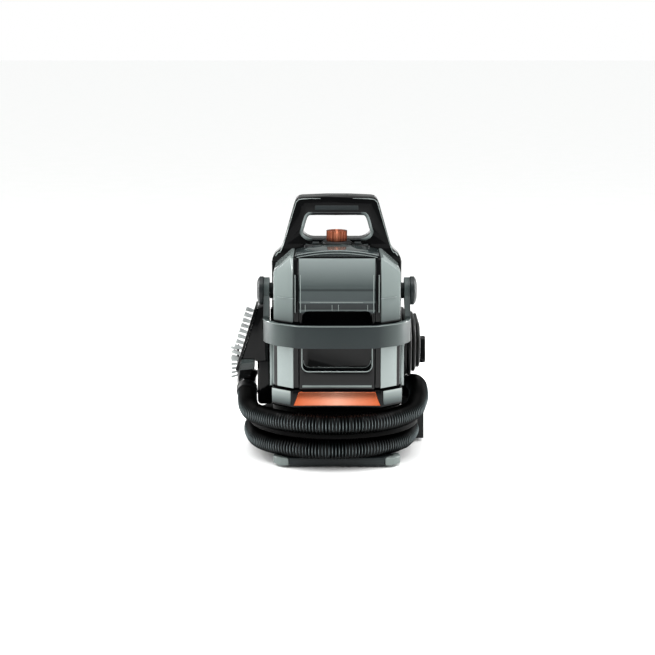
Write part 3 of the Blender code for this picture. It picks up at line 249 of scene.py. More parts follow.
def grainedPlastic(name, dark, light, low, high, grainScale, grainHeight, gleam=0.22):
    # ABS from a spark-eroded tool: a fine even grain that breaks reflections into a soft sheen
    made, shader = newMaterial(name, IOR=1.5, Specular_IOR_Level=gleam)
    place = add(made, "ShaderNodeTexCoord")
    grain = add(made, "ShaderNodeTexNoise", [("Vector", place, "Object")], Scale=grainScale, Detail=4.0)
    cloud = add(made, "ShaderNodeTexNoise", [("Vector", place, "Object")], Scale=18.0, Detail=2.0)
    colour = add(made, "ShaderNodeValToRGB", [("Fac", cloud, "Fac")], [(0.3, dark), (0.7, light)])
    rough = add(made, "ShaderNodeMapRange", [("Value", grain, "Fac")], **{"To Min": low, "To Max": high})
    bump = add(made, "ShaderNodeBump", [("Height", grain, "Fac")], Strength=0.35, Distance=grainHeight)
    feed(made, shader, ("Base Color", colour, "Color"), ("Roughness", rough, "Result"),
         ("Normal", bump, "Normal"))
    return made


def silverPaint():
    # silver lacquer over ABS: a cool bright grey with a faint sparkle of aluminium flake
    made, shader = newMaterial("silverLacquer", Metallic=0.6, Roughness=0.3, Specular_IOR_Level=0.4)
    place = add(made, "ShaderNodeTexCoord")
    flake = add(made, "ShaderNodeTexVoronoi", [("Vector", place, "Object")], Scale=2600.0)
    colour = add(made, "ShaderNodeValToRGB", [("Fac", flake, "Distance")],
                 [(0.1, "#9da6a4"), (0.8, "#808988")])
    rough = add(made, "ShaderNodeMapRange", [("Value", flake, "Distance")],
                **{"To Min": 0.24, "To Max": 0.38})
    feed(made, shader, ("Base Color", colour, "Color"), ("Roughness", rough, "Result"))
    return made


def copperPlate(name, halfWidth, stops, roughness):
    # copper-tone metallised plastic: a painted highlight in the middle and painted shade deeper towards the
    # ends, with a faint brushed line
    made, shader = newMaterial(name, Metallic=0.85, Roughness=roughness)
    place = add(made, "ShaderNodeTexCoord")
    parts = add(made, "ShaderNodeSeparateXYZ", [("Vector", place, "Object")])
    away = add(made, "ShaderNodeMath", [(0, parts, "X")], operation="ABSOLUTE")
    share = add(made, "ShaderNodeMapRange", [("Value", away, "Value")], **{"From Max": halfWidth})
    colour = add(made, "ShaderNodeValToRGB", [("Fac", share, "Result")], stops)
    stretch = add(made, "ShaderNodeMapping", [("Vector", place, "Object")], Scale=(40.0, 40.0, 2400.0))
    brushed = add(made, "ShaderNodeTexNoise", [("Vector", stretch, "Vector")], Scale=1.0, Detail=3.0)
    bump = add(made, "ShaderNodeBump", [("Height", brushed, "Fac")], Strength=0.12, Distance=0.0002)
    feed(made, shader, ("Base Color", colour, "Color"), ("Normal", bump, "Normal"))
    return made


def smokedClear(name, stops, topZ, lowZ, clearness, roughness=0.05, facet=None):
    # smoke-tinted clear polycarbonate, coloured by height: painted shade lower down and a paler painted top
    # where the light falls
    made, shader = newMaterial(name, Transmission_Weight=clearness, Roughness=roughness, IOR=1.49,
                               Specular_IOR_Level=0.22)
    place = add(made, "ShaderNodeTexCoord")
    parts = add(made, "ShaderNodeSeparateXYZ", [("Vector", place, "Object")])
    height = add(made, "ShaderNodeMapRange", [("Value", parts, "Z")], **{"From Min": lowZ, "From Max": topZ})
    colour = add(made, "ShaderNodeValToRGB", [("Fac", height, "Result")], stops)
    tint = ("Base Color", colour, "Color")
    if facet is not None:
        # the slanted corners are painted paler than the middle, a painted reflection, and the grooves between
        # them are black
        away = add(made, "ShaderNodeMath", [(0, parts, "X")], operation="ABSOLUTE")
        isFacet, isGroove = [
            add(made, "ShaderNodeMapRange", [("Value", away, "Value")],
                **{"From Min": edge - facet["blend"], "From Max": edge + facet["blend"]})
            for edge in (facet["edge"], facet["grooveEdge"])]
        grooved = add(made, "ShaderNodeMix", [("Factor", isGroove, "Result"), (6, colour, "Color")],
                      data_type="RGBA")
        grooved.inputs[7].default_value = linear(facet["groove"])
        side = add(made, "ShaderNodeValToRGB", [("Fac", height, "Result")], facet["stops"])
        mixed = add(made, "ShaderNodeMix",
                    [("Factor", isFacet, "Result"), (6, grooved, 2), (7, side, "Color")], data_type="RGBA")
        tint = ("Base Color", mixed, 2)
    ripple = add(made, "ShaderNodeTexNoise", [("Vector", place, "Object")], Scale=22.0, Detail=1.0)
    bump = add(made, "ShaderNodeBump", [("Height", ripple, "Fac")], Strength=0.05, Distance=0.002)
    feed(made, shader, tint, ("Normal", bump, "Normal"))
    return made


def ribbedHosePlastic():
    # blow-moulded polyethylene hose: painted shade in the grooves and a painted grey highlight on the crests
    made, shader = newMaterial("ribbedHosePlastic", Roughness=0.3, IOR=1.5, Specular_IOR_Level=0.12)
    ribHighlight = add(made, "ShaderNodeAttribute", attribute_name="ribHighlight")
    colour = add(made, "ShaderNodeValToRGB", [("Fac", ribHighlight, "Fac")],
                 [(0.0, "#000000"), (0.45, "#040505"), (0.72, "#2b3132"), (1.0, "#858f91")])
    place = add(made, "ShaderNodeTexCoord")
    scuff = add(made, "ShaderNodeTexNoise", [("Vector", place, "Object")], Scale=140.0, Detail=3.0)
    rough = add(made, "ShaderNodeMapRange", [("Value", scuff, "Fac")], **{"To Min": 0.24, "To Max": 0.42})
    feed(made, shader, ("Base Color", colour, "Color"), ("Roughness", rough, "Result"))
    return made


def sideHighlighted(name, stops, reach, low, high):
    # satin ABS painted lighter from the middle outwards: painted highlights towards the sides, where the ends
    # and the opening's sides catch the light
    made, shader = newMaterial(name, IOR=1.5, Specular_IOR_Level=0.22)
    place = add(made, "ShaderNodeTexCoord")
    parts = add(made, "ShaderNodeSeparateXYZ", [("Vector", place, "Object")])
    away = add(made, "ShaderNodeMath", [(0, parts, "X")], operation="ABSOLUTE")
    share = add(made, "ShaderNodeMapRange", [("Value", away, "Value")], **{"From Max": reach})
    colour = add(made, "ShaderNodeValToRGB", [("Fac", share, "Result")], stops)
    grain = add(made, "ShaderNodeTexNoise", [("Vector", place, "Object")], Scale=900.0, Detail=4.0)
    rough = add(made, "ShaderNodeMapRange", [("Value", grain, "Fac")], **{"To Min": low, "To Max": high})
    bump = add(made, "ShaderNodeBump", [("Height", grain, "Fac")], Strength=0.3, Distance=0.0001)
    feed(made, shader, ("Base Color", colour, "Color"), ("Roughness", rough, "Result"),
         ("Normal", bump, "Normal"))
    return made


def zincPlatedSteel(name, dark, light):
    # zinc-plated pressed steel: a cool sheen with a patchy passivated film
    made, shader = newMaterial(name, Metallic=1.0, Roughness=0.35)
    place = add(made, "ShaderNodeTexCoord")
    patch = add(made, "ShaderNodeTexNoise", [("Vector", place, "Object")], Scale=60.0, Detail=3.0)
    colour = add(made, "ShaderNodeValToRGB", [("Fac", patch, "Fac")], [(0.35, dark), (0.65, light)])
    rough = add(made, "ShaderNodeMapRange", [("Value", patch, "Fac")], **{"To Min": 0.25, "To Max": 0.45})
    feed(made, shader, ("Base Color", colour, "Color"), ("Roughness", rough, "Result"))
    return made


toeLow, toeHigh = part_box("toe_trim_left")
tankShading = {
    # painted light and shade from the tank's foot up: black behind the pocket as painted shade, a painted
    # highlight on a lit shelf, a painted dark band, painted light bands, the paler top where the light falls
    "stops": [(0.0, "#050607"), (0.14, "#070808"), (0.17, "#2c3335"), (0.20, "#565f5e"), (0.22, "#1d2324"),
              (0.31, "#252b2d"), (0.33, "#5d6665"), (0.36, "#3b4344"), (0.50, "#414949"), (0.53, "#262c2d"),
              (0.56, "#3f4747"), (1.0, "#7d8685")],
    "topZ": 0.318, "lowZ": 0.225,
    "facet": {"stops": [(0.0, "#08090a"), (0.02, "#5f6867"), (0.4, "#7c8684"), (1.0, "#8b9593")],
              "edge": 0.0655, "grooveEdge": 0.0570, "blend": 0.0004, "groove": "#060708"},
}
finishes = {
    "gloss": pianoBlackAbs(),
    "satin": grainedPlastic("grainedBlackAbs", "#0a0b0c", "#101213", 0.34, 0.5, 900.0, 0.0002),
    # a darker copy of the grained black: painted shade for the waist and the hose shelf low under the deck,
    # with a low gleam that damps their reflections
    "shadedBlack": grainedPlastic("shadedBlackAbs", "#030303", "#060606", 0.5, 0.62, 900.0, 0.0002, 0.04),
    "slate": grainedPlastic("slateSatinAbs", "#181d1e", "#1f2526", 0.34, 0.44, 900.0, 0.0001),
    # the bail's ends and the opening lip's sides carry painted highlights
    "bail": sideHighlighted("slateBailAbs", [(0.0, "#22292a"), (0.55, "#262d2e"), (0.72, "#3f4746"),
                                        (0.9, "#4b5453"), (1.0, "#2b3232")], 0.112, 0.38, 0.48),
    "grip": grainedPlastic("greySoftGrip", "#23292a", "#2b3132", 0.4, 0.5, 700.0, 0.0002),
    "lip": sideHighlighted("polishedLipAbs", [(0.0, "#0b0c0d"), (0.66, "#14181a"), (0.80, "#5e6867"),
                                         (0.95, "#868f8e"), (1.0, "#4d5655")], 0.056, 0.12, 0.2),
    "silver": silverPaint(),
    "badge": copperPlate("roseCopperPlate", 0.066,
                         [(0.0, "#cf9179"), (0.45, "#bb7053"), (1.0, "#a94c26")], 0.24),
    "dial": copperPlate("copperDialPlate", 0.017,
                        [(0.0, "#b26d52"), (0.6, "#97543b"), (1.0, "#642d1a")], 0.34),
    # the smoked clear pieces here are painted darker low and paler high: painted shade below, painted light
    # from above
    "tank": smokedClear("smokedTankPlastic", tankShading["stops"], tankShading["topZ"], tankShading["lowZ"], 0.1, 0.05,
                        tankShading["facet"]),
    "facet": smokedClear("paleSmokeFacet", [(0.0, "#7b8583"), (1.0, "#949d9b")], 0.310, 0.236, 0.15, 0.12),
    "lid": smokedClear("clearLidPlastic", [(0.0, "#23292a"), (0.5, "#2e3536"), (1.0, "#4d5655")],
                       0.333, 0.320, 0.3, 0.03),
    "cleanTank": smokedClear("smokedCleanTank", [(0.0, "#3c4446"), (1.0, "#6f7978")], 0.30, 0.12, 0.5),
    "nozzle": smokedClear("clearNozzlePlastic", [(0.0, "#22282a"), (1.0, "#4d5655")], 0.16, 0.12, 0.4),
    # the toe trims are painted dark at the bottom to pale at the top: painted shade below and a painted
    # highlight along the top
    "toe": smokedClear("toeLacquerPaintedLight",
                       [(0.0, "#22282a"), (0.35, "#5b6564"), (0.8, "#8b9492"), (1.0, "#a9b2af")],
                       toeHigh[2], toeLow[2], 0.05, 0.2),
    "rubber": grainedPlastic("blackRubber", "#0c0d0d", "#131414", 0.6, 0.8, 600.0, 0.0002),
    "cord": grainedPlastic("blackPvcCord", "#0b0c0c", "#131515", 0.3, 0.42, 500.0, 0.0001),
    "hose": ribbedHosePlastic(),
    "bristle": grainedPlastic("greyNylonBristle", "#a9adad", "#cdd1d0", 0.4, 0.55, 1200.0, 0.0001),
    "skid": grainedPlastic("paleGreySkid", "#68716f", "#79827f", 0.3, 0.42, 900.0, 0.0001),
    "steel": zincPlatedSteel("zincPlatedSteel", "#9da1a3", "#b9bdbf"),
    "board": grainedPlastic("greenSolderMask", "#0e3a1c", "#14532a", 0.3, 0.45, 400.0, 0.0001),
    "white": grainedPlastic("whiteFloatPlastic", "#d8d8d2", "#e6e6e0", 0.4, 0.5, 500.0, 0.0001),
}
print("surfaces made")


# the ribbed hose: twice round the base, from its port at the right rear to the tool at the left
hoseSize = {"radius": 0.0155, "groove": 0.0027, "ribPitch": 0.0046, "sides": 28}
hoseRoute = (
    (0.1140, 0.0097, 0.0316), (0.1140, -0.0060, 0.0316), (0.1140, -0.0300, 0.0316),
    (0.0977, -0.0910, 0.0316), (0.0530, -0.1357, 0.0316), (-0.0080, -0.1520, 0.0316),
    (-0.0690, -0.1357, 0.0316), (-0.1137, -0.0910, 0.0316), (-0.1300, -0.0300, 0.0316),
    (-0.1300, 0.0300, 0.0316), (-0.1137, 0.0910, 0.0316), (-0.0690, 0.1357, 0.0330),
    (-0.0080, 0.1540, 0.0410), (0.0500, 0.1440, 0.0540), (0.0870, 0.1280, 0.0640),
    (0.1100, 0.1010, 0.0755), (0.1225, 0.0680, 0.0875), (0.1290, 0.0300, 0.0925),
    (0.1303, -0.0050, 0.0900), (0.1270, -0.0450, 0.0830), (0.1120, -0.0970, 0.0768),
    (0.0630, -0.1460, 0.0735), (-0.0040, -0.1640, 0.0731), (-0.0710, -0.1460, 0.0731),
    (-0.1200, -0.0980, 0.0733), (-0.1370, -0.0600, 0.0775), (-0.1410, -0.0280, 0.0930),
)


def ribbedTube(name, path, radii, sides):
    # rings square to the path, each at its own radius, closed at both ends
    mesh = bmesh.new()
    side = (path[1] - path[0]).normalized().orthogonal().normalized()
    rings = []
    for k, place in enumerate(path):
        ahead = path[min(k + 1, len(path) - 1)] - path[max(k - 1, 0)]
        ahead.normalize()
        side = (side - ahead * side.dot(ahead)).normalized()
        up = ahead.cross(side)
        ring = []
        for s in range(sides):
            angle = math.tau * s / sides
            ring.append(mesh.verts.new(place + radii[k] * (math.cos(angle) * side + math.sin(angle) * up)))
        rings.append(ring)
    for lower, upper in zip(rings, rings[1:]):
        for s in range(sides):
            after = (s + 1) % sides
            mesh.faces.new((lower[s], lower[after], upper[after], upper[s]))
    mesh.faces.new(list(reversed(rings[0])))
    mesh.faces.new(rings[-1])
    bmesh.ops.recalc_face_normals(mesh, faces=mesh.faces)
    data = bpy.data.meshes.new(name)
    mesh.to_mesh(data)
    mesh.free()
    piece = bpy.data.objects.new(name, data)
    bpy.context.scene.collection.objects.link(piece)
    return piece


def markRibHighlights(piece, depths, sides, path, radius):
    # stores a painted highlight for each point from how high on a rib it stands, less on the hose's top and
    # underside, which stay black
    ribHighlight = piece.data.attributes.new("ribHighlight", "FLOAT", "POINT")
    for ring, depth in enumerate(depths):
        for s in range(sides):
            index = ring * sides + s
            rise = abs(piece.data.vertices[index].co.z - path[ring].z) / radius
            ribHighlight.data[index].value = (1.0 - depth) * max(0.0, 1.0 - rise ** 2)


hoseProfile = (0.0, 0.6, 1.0, 0.6)  # depth of the groove at four places along each rib
hosePath, hoseLength = evenly(smoothRoute(hoseRoute, 12), hoseSize["ribPitch"] / len(hoseProfile))
hoseDepths = [hoseProfile[k % len(hoseProfile)] for k in range(len(hosePath))]
hoseRadii = [hoseSize["radius"] - hoseSize["groove"] * depth for depth in hoseDepths]
hoseTube = ribbedTube("ribbedHose", hosePath, hoseRadii, hoseSize["sides"])
markRibHighlights(hoseTube, hoseDepths, hoseSize["sides"], hosePath, hoseSize["radius"])
hose = placed(hoseTube, "ribbedHose", "base", finishes["hose"], 80)
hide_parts("hose")
print("hose made, length", round(hoseLength, 3))


# the power cord: out of its gland, wound on the wrap, and down to the plug
cordSize = {"radius": 0.0034, "pitch": 0.0070, "inner": 0.0215, "centreY": 0.030, "centreZ": 0.165,
            "straight": 0.035, "firstX": 0.1030, "layers": (4, 4, 3, 2), "stepsPerTurn": 32,
            "lastTurn": 0.6, "crossFrom": 0.55, "spacing": 0.006}
leadRoute = (
    (0.0930, 0.0630, 0.1755), (0.0930, 0.0680, 0.1755), (0.0930, 0.0801, 0.1723),
    (0.0931, 0.0890, 0.1634), (0.0934, 0.0922, 0.1513), (0.0941, 0.0890, 0.1392),
    (0.0953, 0.0801, 0.1304), (0.0970, 0.0680, 0.1272), (0.0986, 0.0560, 0.1265),
)
tailRoute = (
    (0.1280, 0.0890, 0.1970), (0.1280, 0.1005, 0.1920), (0.1270, 0.1125, 0.1812),
    (0.1250, 0.1210, 0.1670), (0.1230, 0.1245, 0.1530), (0.1230, 0.1250, 0.1430),
)


def onTrack(share, radius, x):
    # a place on the racetrack winding: share 0 is the middle of the bottom, heading forwards
    half = cordSize["straight"]
    bend = math.pi * radius
    total = 4 * half + 2 * bend
    along = (share % 1.0) * total
    centreY, centreZ = cordSize["centreY"], cordSize["centreZ"]
    if along < half:
        return Vector((x, centreY - along, centreZ - radius))
    along -= half
    if along < bend:
        angle = along / radius
        return Vector((x, centreY - half - radius * math.sin(angle), centreZ - radius * math.cos(angle)))
    along -= bend
    if along < 2 * half:
        return Vector((x, centreY - half + along, centreZ + radius))
    along -= 2 * half
    if along < bend:
        angle = along / radius
        return Vector((x, centreY + half + radius * math.sin(angle), centreZ + radius * math.cos(angle)))
    along -= bend
    return Vector((x, centreY + half - along, centreZ - radius))


def windings():
    # radius and column at each turn's end, in and out through the columns like thread on a bobbin
    stops = []
    for column, count in enumerate(cordSize["layers"]):
        x = cordSize["firstX"] + cordSize["pitch"] * (column + 0.5)
        layers = list(range(count))
        if column % 2 == 0:
            layers.reverse()
        for layer in layers:
            stops.append((cordSize["inner"] + cordSize["pitch"] * (layer + 0.5), x))
    points = []
    steps = cordSize["stepsPerTurn"]
    stops.append(stops[-1])
    for (radius, x), (nextRadius, nextX) in zip(stops[:-1], stops[1:]):
        lastTurn = (nextRadius, nextX) == (radius, x)
        turnSteps = round(steps * cordSize["lastTurn"]) if lastTurn else steps
        for k in range(turnSteps):
            share = k / steps
            blend = max(0.0, (share - cordSize["crossFrom"]) / (1 - cordSize["crossFrom"]))
            blend = blend * blend * (3 - 2 * blend)
            points.append(onTrack(share, radius + (nextRadius - radius) * blend, x + (nextX - x) * blend))
    return points


coilPoints = windings()
cordKeys = smoothRoute(leadRoute, 3) + coilPoints[2:] + smoothRoute(tailRoute, 3)
cordPath, cordLength = evenly(smoothRoute(cordKeys, 2), cordSize["spacing"])
cordCurve = bpy.data.curves.new("powerCord", "CURVE")
cordCurve.dimensions = "3D"
cordCurve.bevel_depth = cordSize["radius"]
cordCurve.bevel_resolution = 3
cordCurve.use_fill_caps = True
cordLine = cordCurve.splines.new("POLY")
cordLine.points.add(len(cordPath) - 1)
for target, place in zip(cordLine.points, cordPath):
    target.co = (place[0], place[1], place[2], 1.0)
cordLine.use_smooth = True
powerCord = bpy.data.objects.new("powerCord", cordCurve)
bpy.context.scene.collection.objects.link(powerCord)
cordCurve.materials.append(finishes["cord"])
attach(powerCord, "base")
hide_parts("cord_lead", "cord_coil", "cord_tail")
print("power cord made, length", round(cordLength, 3))


refined = {
    # shapes kept from the solids with rounded edges: node: (name, finish, edge radius in metres, segments)
    "recovery_tank": ("smokedRecoveryTank", "tank", 0.0012, 3),
    "tank_lid": ("crownedTankLid", "lid", 0.0008, 2),
    "clean_tank": ("smokedWaterTank", "cleanTank", 0.0010, 3),
    "main_housing": ("towerHousing", "gloss", 0.0015, 3),
    "handle_arch": ("carryingArch", "gloss", 0.0010, 2),
    "control_shelf": ("controlShelf", "gloss", 0.0006, 2),
    "tank_deck": ("tankDeck", "gloss", 0.0015, 3),
    "base_pan": ("basePan", "slate", 0.0010, 3),
    "base_skid_left": ("leftSkid", "skid", 0.0008, 2),
    "base_skid_right": ("rightSkid", "skid", 0.0008, 2),
    "lower_housing": ("waistHousing", "shadedBlack", 0.0008, 2),
    "hose_shelf": ("hoseShelf", "shadedBlack", 0.0015, 3),
    "hose_port": ("hosePortBlock", "satin", 0.0010, 3),
    "bail_handle": ("bailHandle", "bail", 0.0008, 3),
    "pivot_cap_left": ("leftPivotKnob", "slate", 0.0006, 3),
    "pivot_cap_right": ("rightPivotKnob", "slate", 0.0006, 3),
    "badge_plate": ("copperBadge", "badge", 0.0004, 2),
    "dial_collar": ("dialCollar", "satin", 0.0005, 3),
    "toe_trim_left": ("leftToeTrim", "toe", 0.0005, 2),
    "toe_trim_right": ("rightToeTrim", "toe", 0.0005, 2),
    "tank_guide_left": ("leftTankGuide", "silver", 0.0008, 2),
    "tank_guide_right": ("rightTankGuide", "silver", 0.0008, 2),
    "rocker_power": ("powerRocker", "slate", 0.0005, 3),
    "rocker_heat": ("heatRocker", "slate", 0.0005, 3),
    "clean_tank_cap": ("waterTankCap", "satin", 0.0006, 3),
    "exhaust_grille": ("exhaustGrille", "satin", 0.0004, 2),
    "cord_wrap": ("cordWrap", "gloss", 0.0006, 2),
    "cord_hook": ("cordHook", "gloss", 0.0008, 3),
    "power_plug": ("powerPlug", "rubber", 0.0005, 3),
    "cord_gland": ("cordGland", "rubber", 0.0004, 2),
    "hose_cuff_tool": ("toolHoseCuff", "satin", 0.0006, 2),
    "tool_body": ("toolBody", "gloss", 0.0010, 3),
    "tool_elbow": ("toolElbow", "gloss", 0.0006, 2),
    "tool_nozzle": ("toolNozzle", "nozzle", 0.0006, 2),
    "tool_trigger": ("toolTrigger", "silver", 0.0006, 3),
    "brush_plate": ("brushPlate", "gloss", 0.0005, 2),
}
for nodeName, (pieceName, finishName, width, segments) in refined.items():
    dressed(nodeName, pieceName, finishes[finishName], width, segments)

dialLow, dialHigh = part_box("dial_knob")
dial = {"flutes": 18, "steps": 8, "depth": 0.075, "rim": 0.0030, "chamfer": 0.0004, "recess": 0.0022,
        "edge": 0.0004}
deselectAll()
dialRadius = (dialHigh[0] - dialLow[0]) / 2
bpy.ops.mesh.primitive_cylinder_add(vertices=dial["flutes"] * dial["steps"], radius=dialRadius,
                                    depth=dialHigh[2] - dialLow[2],
                                    location=[(a + b) / 2 for a, b in zip(dialLow, dialHigh)])
flutedDial = bpy.context.object
for vertex in flutedDial.data.vertices:
    turn = math.atan2(vertex.co.y, vertex.co.x)
    share = 1 - dial["depth"] * (0.5 - 0.5 * math.cos(dial["flutes"] * turn)) ** 2
    vertex.co.x *= share
    vertex.co.y *= share
bpy.ops.object.mode_set(mode="EDIT")
dialMesh = bmesh.from_edit_mesh(flutedDial.data)
for face in dialMesh.faces:
    face.select = face.normal.z > 0.9
bmesh.update_edit_mesh(flutedDial.data)
bpy.ops.mesh.inset(thickness=dial["rim"])
bpy.ops.mesh.inset(thickness=dial["chamfer"])
bpy.ops.transform.translate(value=(0, 0, -dial["recess"]))
bpy.ops.object.mode_set(mode="OBJECT")
bevelled(flutedDial, dial["edge"], 2, 50)
placed(flutedDial, "copperDial", bodyOf["dial_knob"], finishes["dial"], 30)
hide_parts("dial_knob")

kept = {
    # nodes that stay as they are, with their finish
    "pivot_pin_left": "satin", "pivot_pin_right": "satin", "tank_seal": "rubber", "intake_tube": "cleanTank",
    "float_rod": "silver", "float": "white", "tank_valve": "rubber", "fan_housing": "satin",
    "vacuum_motor": "steel", "impeller": "steel", "water_pump": "steel", "steam_heater": "steel",
    "circuit_board": "board", "rubber_foot_1": "rubber", "rubber_foot_2": "rubber", "rubber_foot_3": "rubber",
    "rubber_foot_4": "rubber",
}
for nodeName, finishName in kept.items():
    if len(nodes[nodeName].data.materials) == 0:
        nodes[nodeName].data.materials.append(finishes[finishName])
    for index in range(len(nodes[nodeName].material_slots)):
        nodes[nodeName].material_slots[index].material = finishes[finishName]


# trim on the recovery tank, placed from the tank's own corner
tankLow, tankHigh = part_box("recovery_tank")
tankFront = tankLow[1]
pocket = {"halfWidth": 0.052, "low": tankLow[2] + 0.029, "corner": 0.010, "depth": 0.024, "steps": 8,
          "rimTop": 0.046, "rimRadius": 0.0008, "innerTop": 0.012, "innerRadius": 0.0006}
trimSize = {"columnLow": 0.003, "columnHigh": 0.086, "columnThick": 0.0016, "seamLow": 0.1385,
            "seamHigh": 0.1395, "seamThick": 0.0010, "facetEdge": 0.0650, "facetDepth": 0.028,
            "outerInset": (0.0062, 0.0064), "footLow": 0.0045, "footHigh": 0.0078, "lineLow": 0.1330,
            "lineHigh": 0.1340, "lineEnds": (-0.0400, 0.0390), "markAt": (-0.0475, -0.0075, 0.0020, 0.0455),
            "markLow": 0.1205, "markHigh": 0.1300, "ribAt": (-0.0625, -0.0545, 0.0545, 0.0625),
            "ribLow": 0.1180, "ribDrop": 0.0230, "halfMark": 0.0004, "halfRib": 0.0006,
            "sideSetback": (0.0005, 0.0040), "sideLow": 0.0040}


def tubeAlong(points, radius, sides=10):
    path = [Vector(p) for p in points]
    return ribbedTube("trimLine", path, [radius] * len(path), sides)


def facetPlate(side, low, high, thickness):
    # a bar laid on the slanted corner of the tank
    insetX, insetY = trimSize["outerInset"]
    inner = Vector((trimSize["facetEdge"], tankFront + 0.0006, 0))
    outer = Vector((tankHigh[0] - insetX, tankFront + trimSize["facetDepth"] - insetY, 0))
    length = (outer - inner).length
    middle = (inner + outer) / 2
    away = Vector((1, -1, 0)).normalized() * (thickness / 2)
    deselectAll()
    bpy.ops.mesh.primitive_cube_add(size=1, location=(0, 0, 0))
    plate = bpy.context.object
    plate.scale = (length, thickness, high - low)
    plate.rotation_euler = (0, 0, math.atan2(outer.y - inner.y, outer.x - inner.x))
    plate.location = (middle.x + away.x, middle.y + away.y, (low + high) / 2)
    choose(plate)
    bpy.ops.object.transform_apply(location=True, rotation=True, scale=True)
    if side < 0:
        plate.scale = (-1, 1, 1)
        bpy.ops.object.transform_apply(location=True, rotation=True, scale=True)
        bpy.ops.object.mode_set(mode="EDIT")
        bpy.ops.mesh.select_all(action="SELECT")
        bpy.ops.mesh.normals_make_consistent(inside=False)
        bpy.ops.object.mode_set(mode="OBJECT")
    return plate


for side, word in ((-1, "left"), (1, "right")):
    column = facetPlate(side, tankLow[2] + trimSize["columnLow"], tankLow[2] + trimSize["columnHigh"],
                        trimSize["columnThick"])
    bevelled(column, 0.0007, 3)
    placed(column, word + "TankColumn", "recovery_tank", finishes["silver"])
    seam = facetPlate(side, tankLow[2] + trimSize["seamLow"], tankLow[2] + trimSize["seamHigh"],
                      trimSize["seamThick"])
    bevelled(seam, 0.0003, 2)
    placed(seam, word + "TankSeam", "recovery_tank", finishes["silver"])


def pocketPath(offset, y, top):
    # the pocket's edge from one side, under and up the other
    half = pocket["halfWidth"] + offset
    low = pocket["low"] - offset
    corner = pocket["corner"]
    points = [(-half, y, top)]
    for middle, start in ((corner - half, math.pi), (half - corner, 1.5 * math.pi)):
        for k in range(pocket["steps"] + 1):
            angle = start + math.pi / 2 * k / pocket["steps"]
            points.append((middle + corner * math.cos(angle), y, low + corner + corner * math.sin(angle)))
    return points + [(half, y, top)]


# silver lines on the pocket's front rim and on the rear edge of its floor: painted highlights along those
# edges
rimOuter = tubeAlong(pocketPath(0.0006, tankFront - 0.0001, pocket["low"] + pocket["rimTop"]),
                     pocket["rimRadius"])
pocketBack = tankFront + pocket["depth"] - 0.0009
rimInner = tubeAlong(pocketPath(-0.0012, pocketBack, pocket["low"] + pocket["innerTop"]),
                     pocket["innerRadius"])
placed(joined([rimOuter, rimInner]), "pocketRimHighlights", "recovery_tank", finishes["silver"])


def frontBar(left, right, low, high, proud, sunk, edge, segments=2):
    # a thin bar on the tank's front face, partly sunk in it; heights are from the tank's foot
    bar = block((left, tankFront - proud, tankLow[2] + low), (right, tankFront + sunk, tankLow[2] + high))
    bevelled(bar, edge, segments)
    return bar


# a pale strip along the tank's foot: a painted highlight where light falls on the ledge there
footHighlight = frontBar(-pocket["halfWidth"], pocket["halfWidth"], trimSize["footLow"], trimSize["footHigh"],
                     0.0006, 0.0010, 0.0004)
placed(footHighlight, "tankFootHighlight", "recovery_tank", finishes["skid"])
lineLeft, lineRight = trimSize["lineEnds"]
marks = [frontBar(lineLeft, lineRight, trimSize["lineLow"], trimSize["lineHigh"], 0.0005, 0.0006, 0.0002)]
for x in trimSize["markAt"]:
    marks.append(frontBar(x - trimSize["halfMark"], x + trimSize["halfMark"], trimSize["markLow"],
                          trimSize["markHigh"], 0.0004, 0.0006, 0.0001, 1))
ribHigh = tankHigh[2] - tankLow[2] - trimSize["ribDrop"]
for x in trimSize["ribAt"]:
    marks.append(frontBar(x - trimSize["halfRib"], x + trimSize["halfRib"], trimSize["ribLow"], ribHigh,
                          0.0006, 0.0008, 0.0003))
placed(joined(marks), "tankFillMarks", "recovery_tank", finishes["facet"])

# two silver lines along the lid's front edge: painted highlights on its crown and skirt edges
lid = {"drops": (0.0006, 0.0042), "skirt": 0.0035, "inset": 0.0022, "line": 0.0005, "halfSteps": 12}
lidLow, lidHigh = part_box("tank_lid")
lidLines = []
for drop in lid["drops"]:
    edge = []
    for k in range(2 * lid["halfSteps"] + 1):
        share = 1 - k / lid["halfSteps"]
        crown = (lidHigh[2] - lidLow[2] - lid["skirt"]) * (1 - share * share)
        z = lidLow[2] + lid["skirt"] + crown - drop
        edge.append(((lidHigh[0] - lid["inset"]) * share, lidLow[1] - 0.0001, z))
    lidLines.append(tubeAlong(edge, lid["line"], 8))
placed(joined(lidLines), "lidEdgeHighlights", "recovery_tank", finishes["silver"])


# the carrying arch: a light line down each edge as a painted highlight, a polished lip round the opening with
# painted highlights at its sides, a soft grey insert above it that is partly a painted highlight
archLow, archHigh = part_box("handle_arch")
arch = {"neckHalf": 0.0865, "topHalf": 0.0635, "lineRadius": 0.0007, "lineSteps": 6, "lineTip": 0.35,
        "gripHalf": 0.034, "gripRise": (0.0050, 0.0125), "openingHalf": 0.056, "openingTopHalf": 0.047,
        "openingHeight": 0.041, "gripThickness": 0.0265, "lip": 0.0026}
archFront = archLow[1] - 0.0001
sideRoute = [
    (archHigh[0] - 0.0060, archFront, archLow[2] + 0.0090),
    (arch["neckHalf"] + 0.0055, archFront, archLow[2] + 0.0140),
    (arch["neckHalf"] - 0.0018, archFront, archLow[2] + 0.0225),
    (arch["topHalf"] + 0.0018, archFront, archHigh[2] - 0.0160),
    (arch["topHalf"] - 0.0018, archFront, archHigh[2] - 0.0075),
    (arch["topHalf"] - 0.0100, archFront, archHigh[2] - 0.0040),
    (0.0250, archFront, archHigh[2] - 0.0030),
]
archLines = []
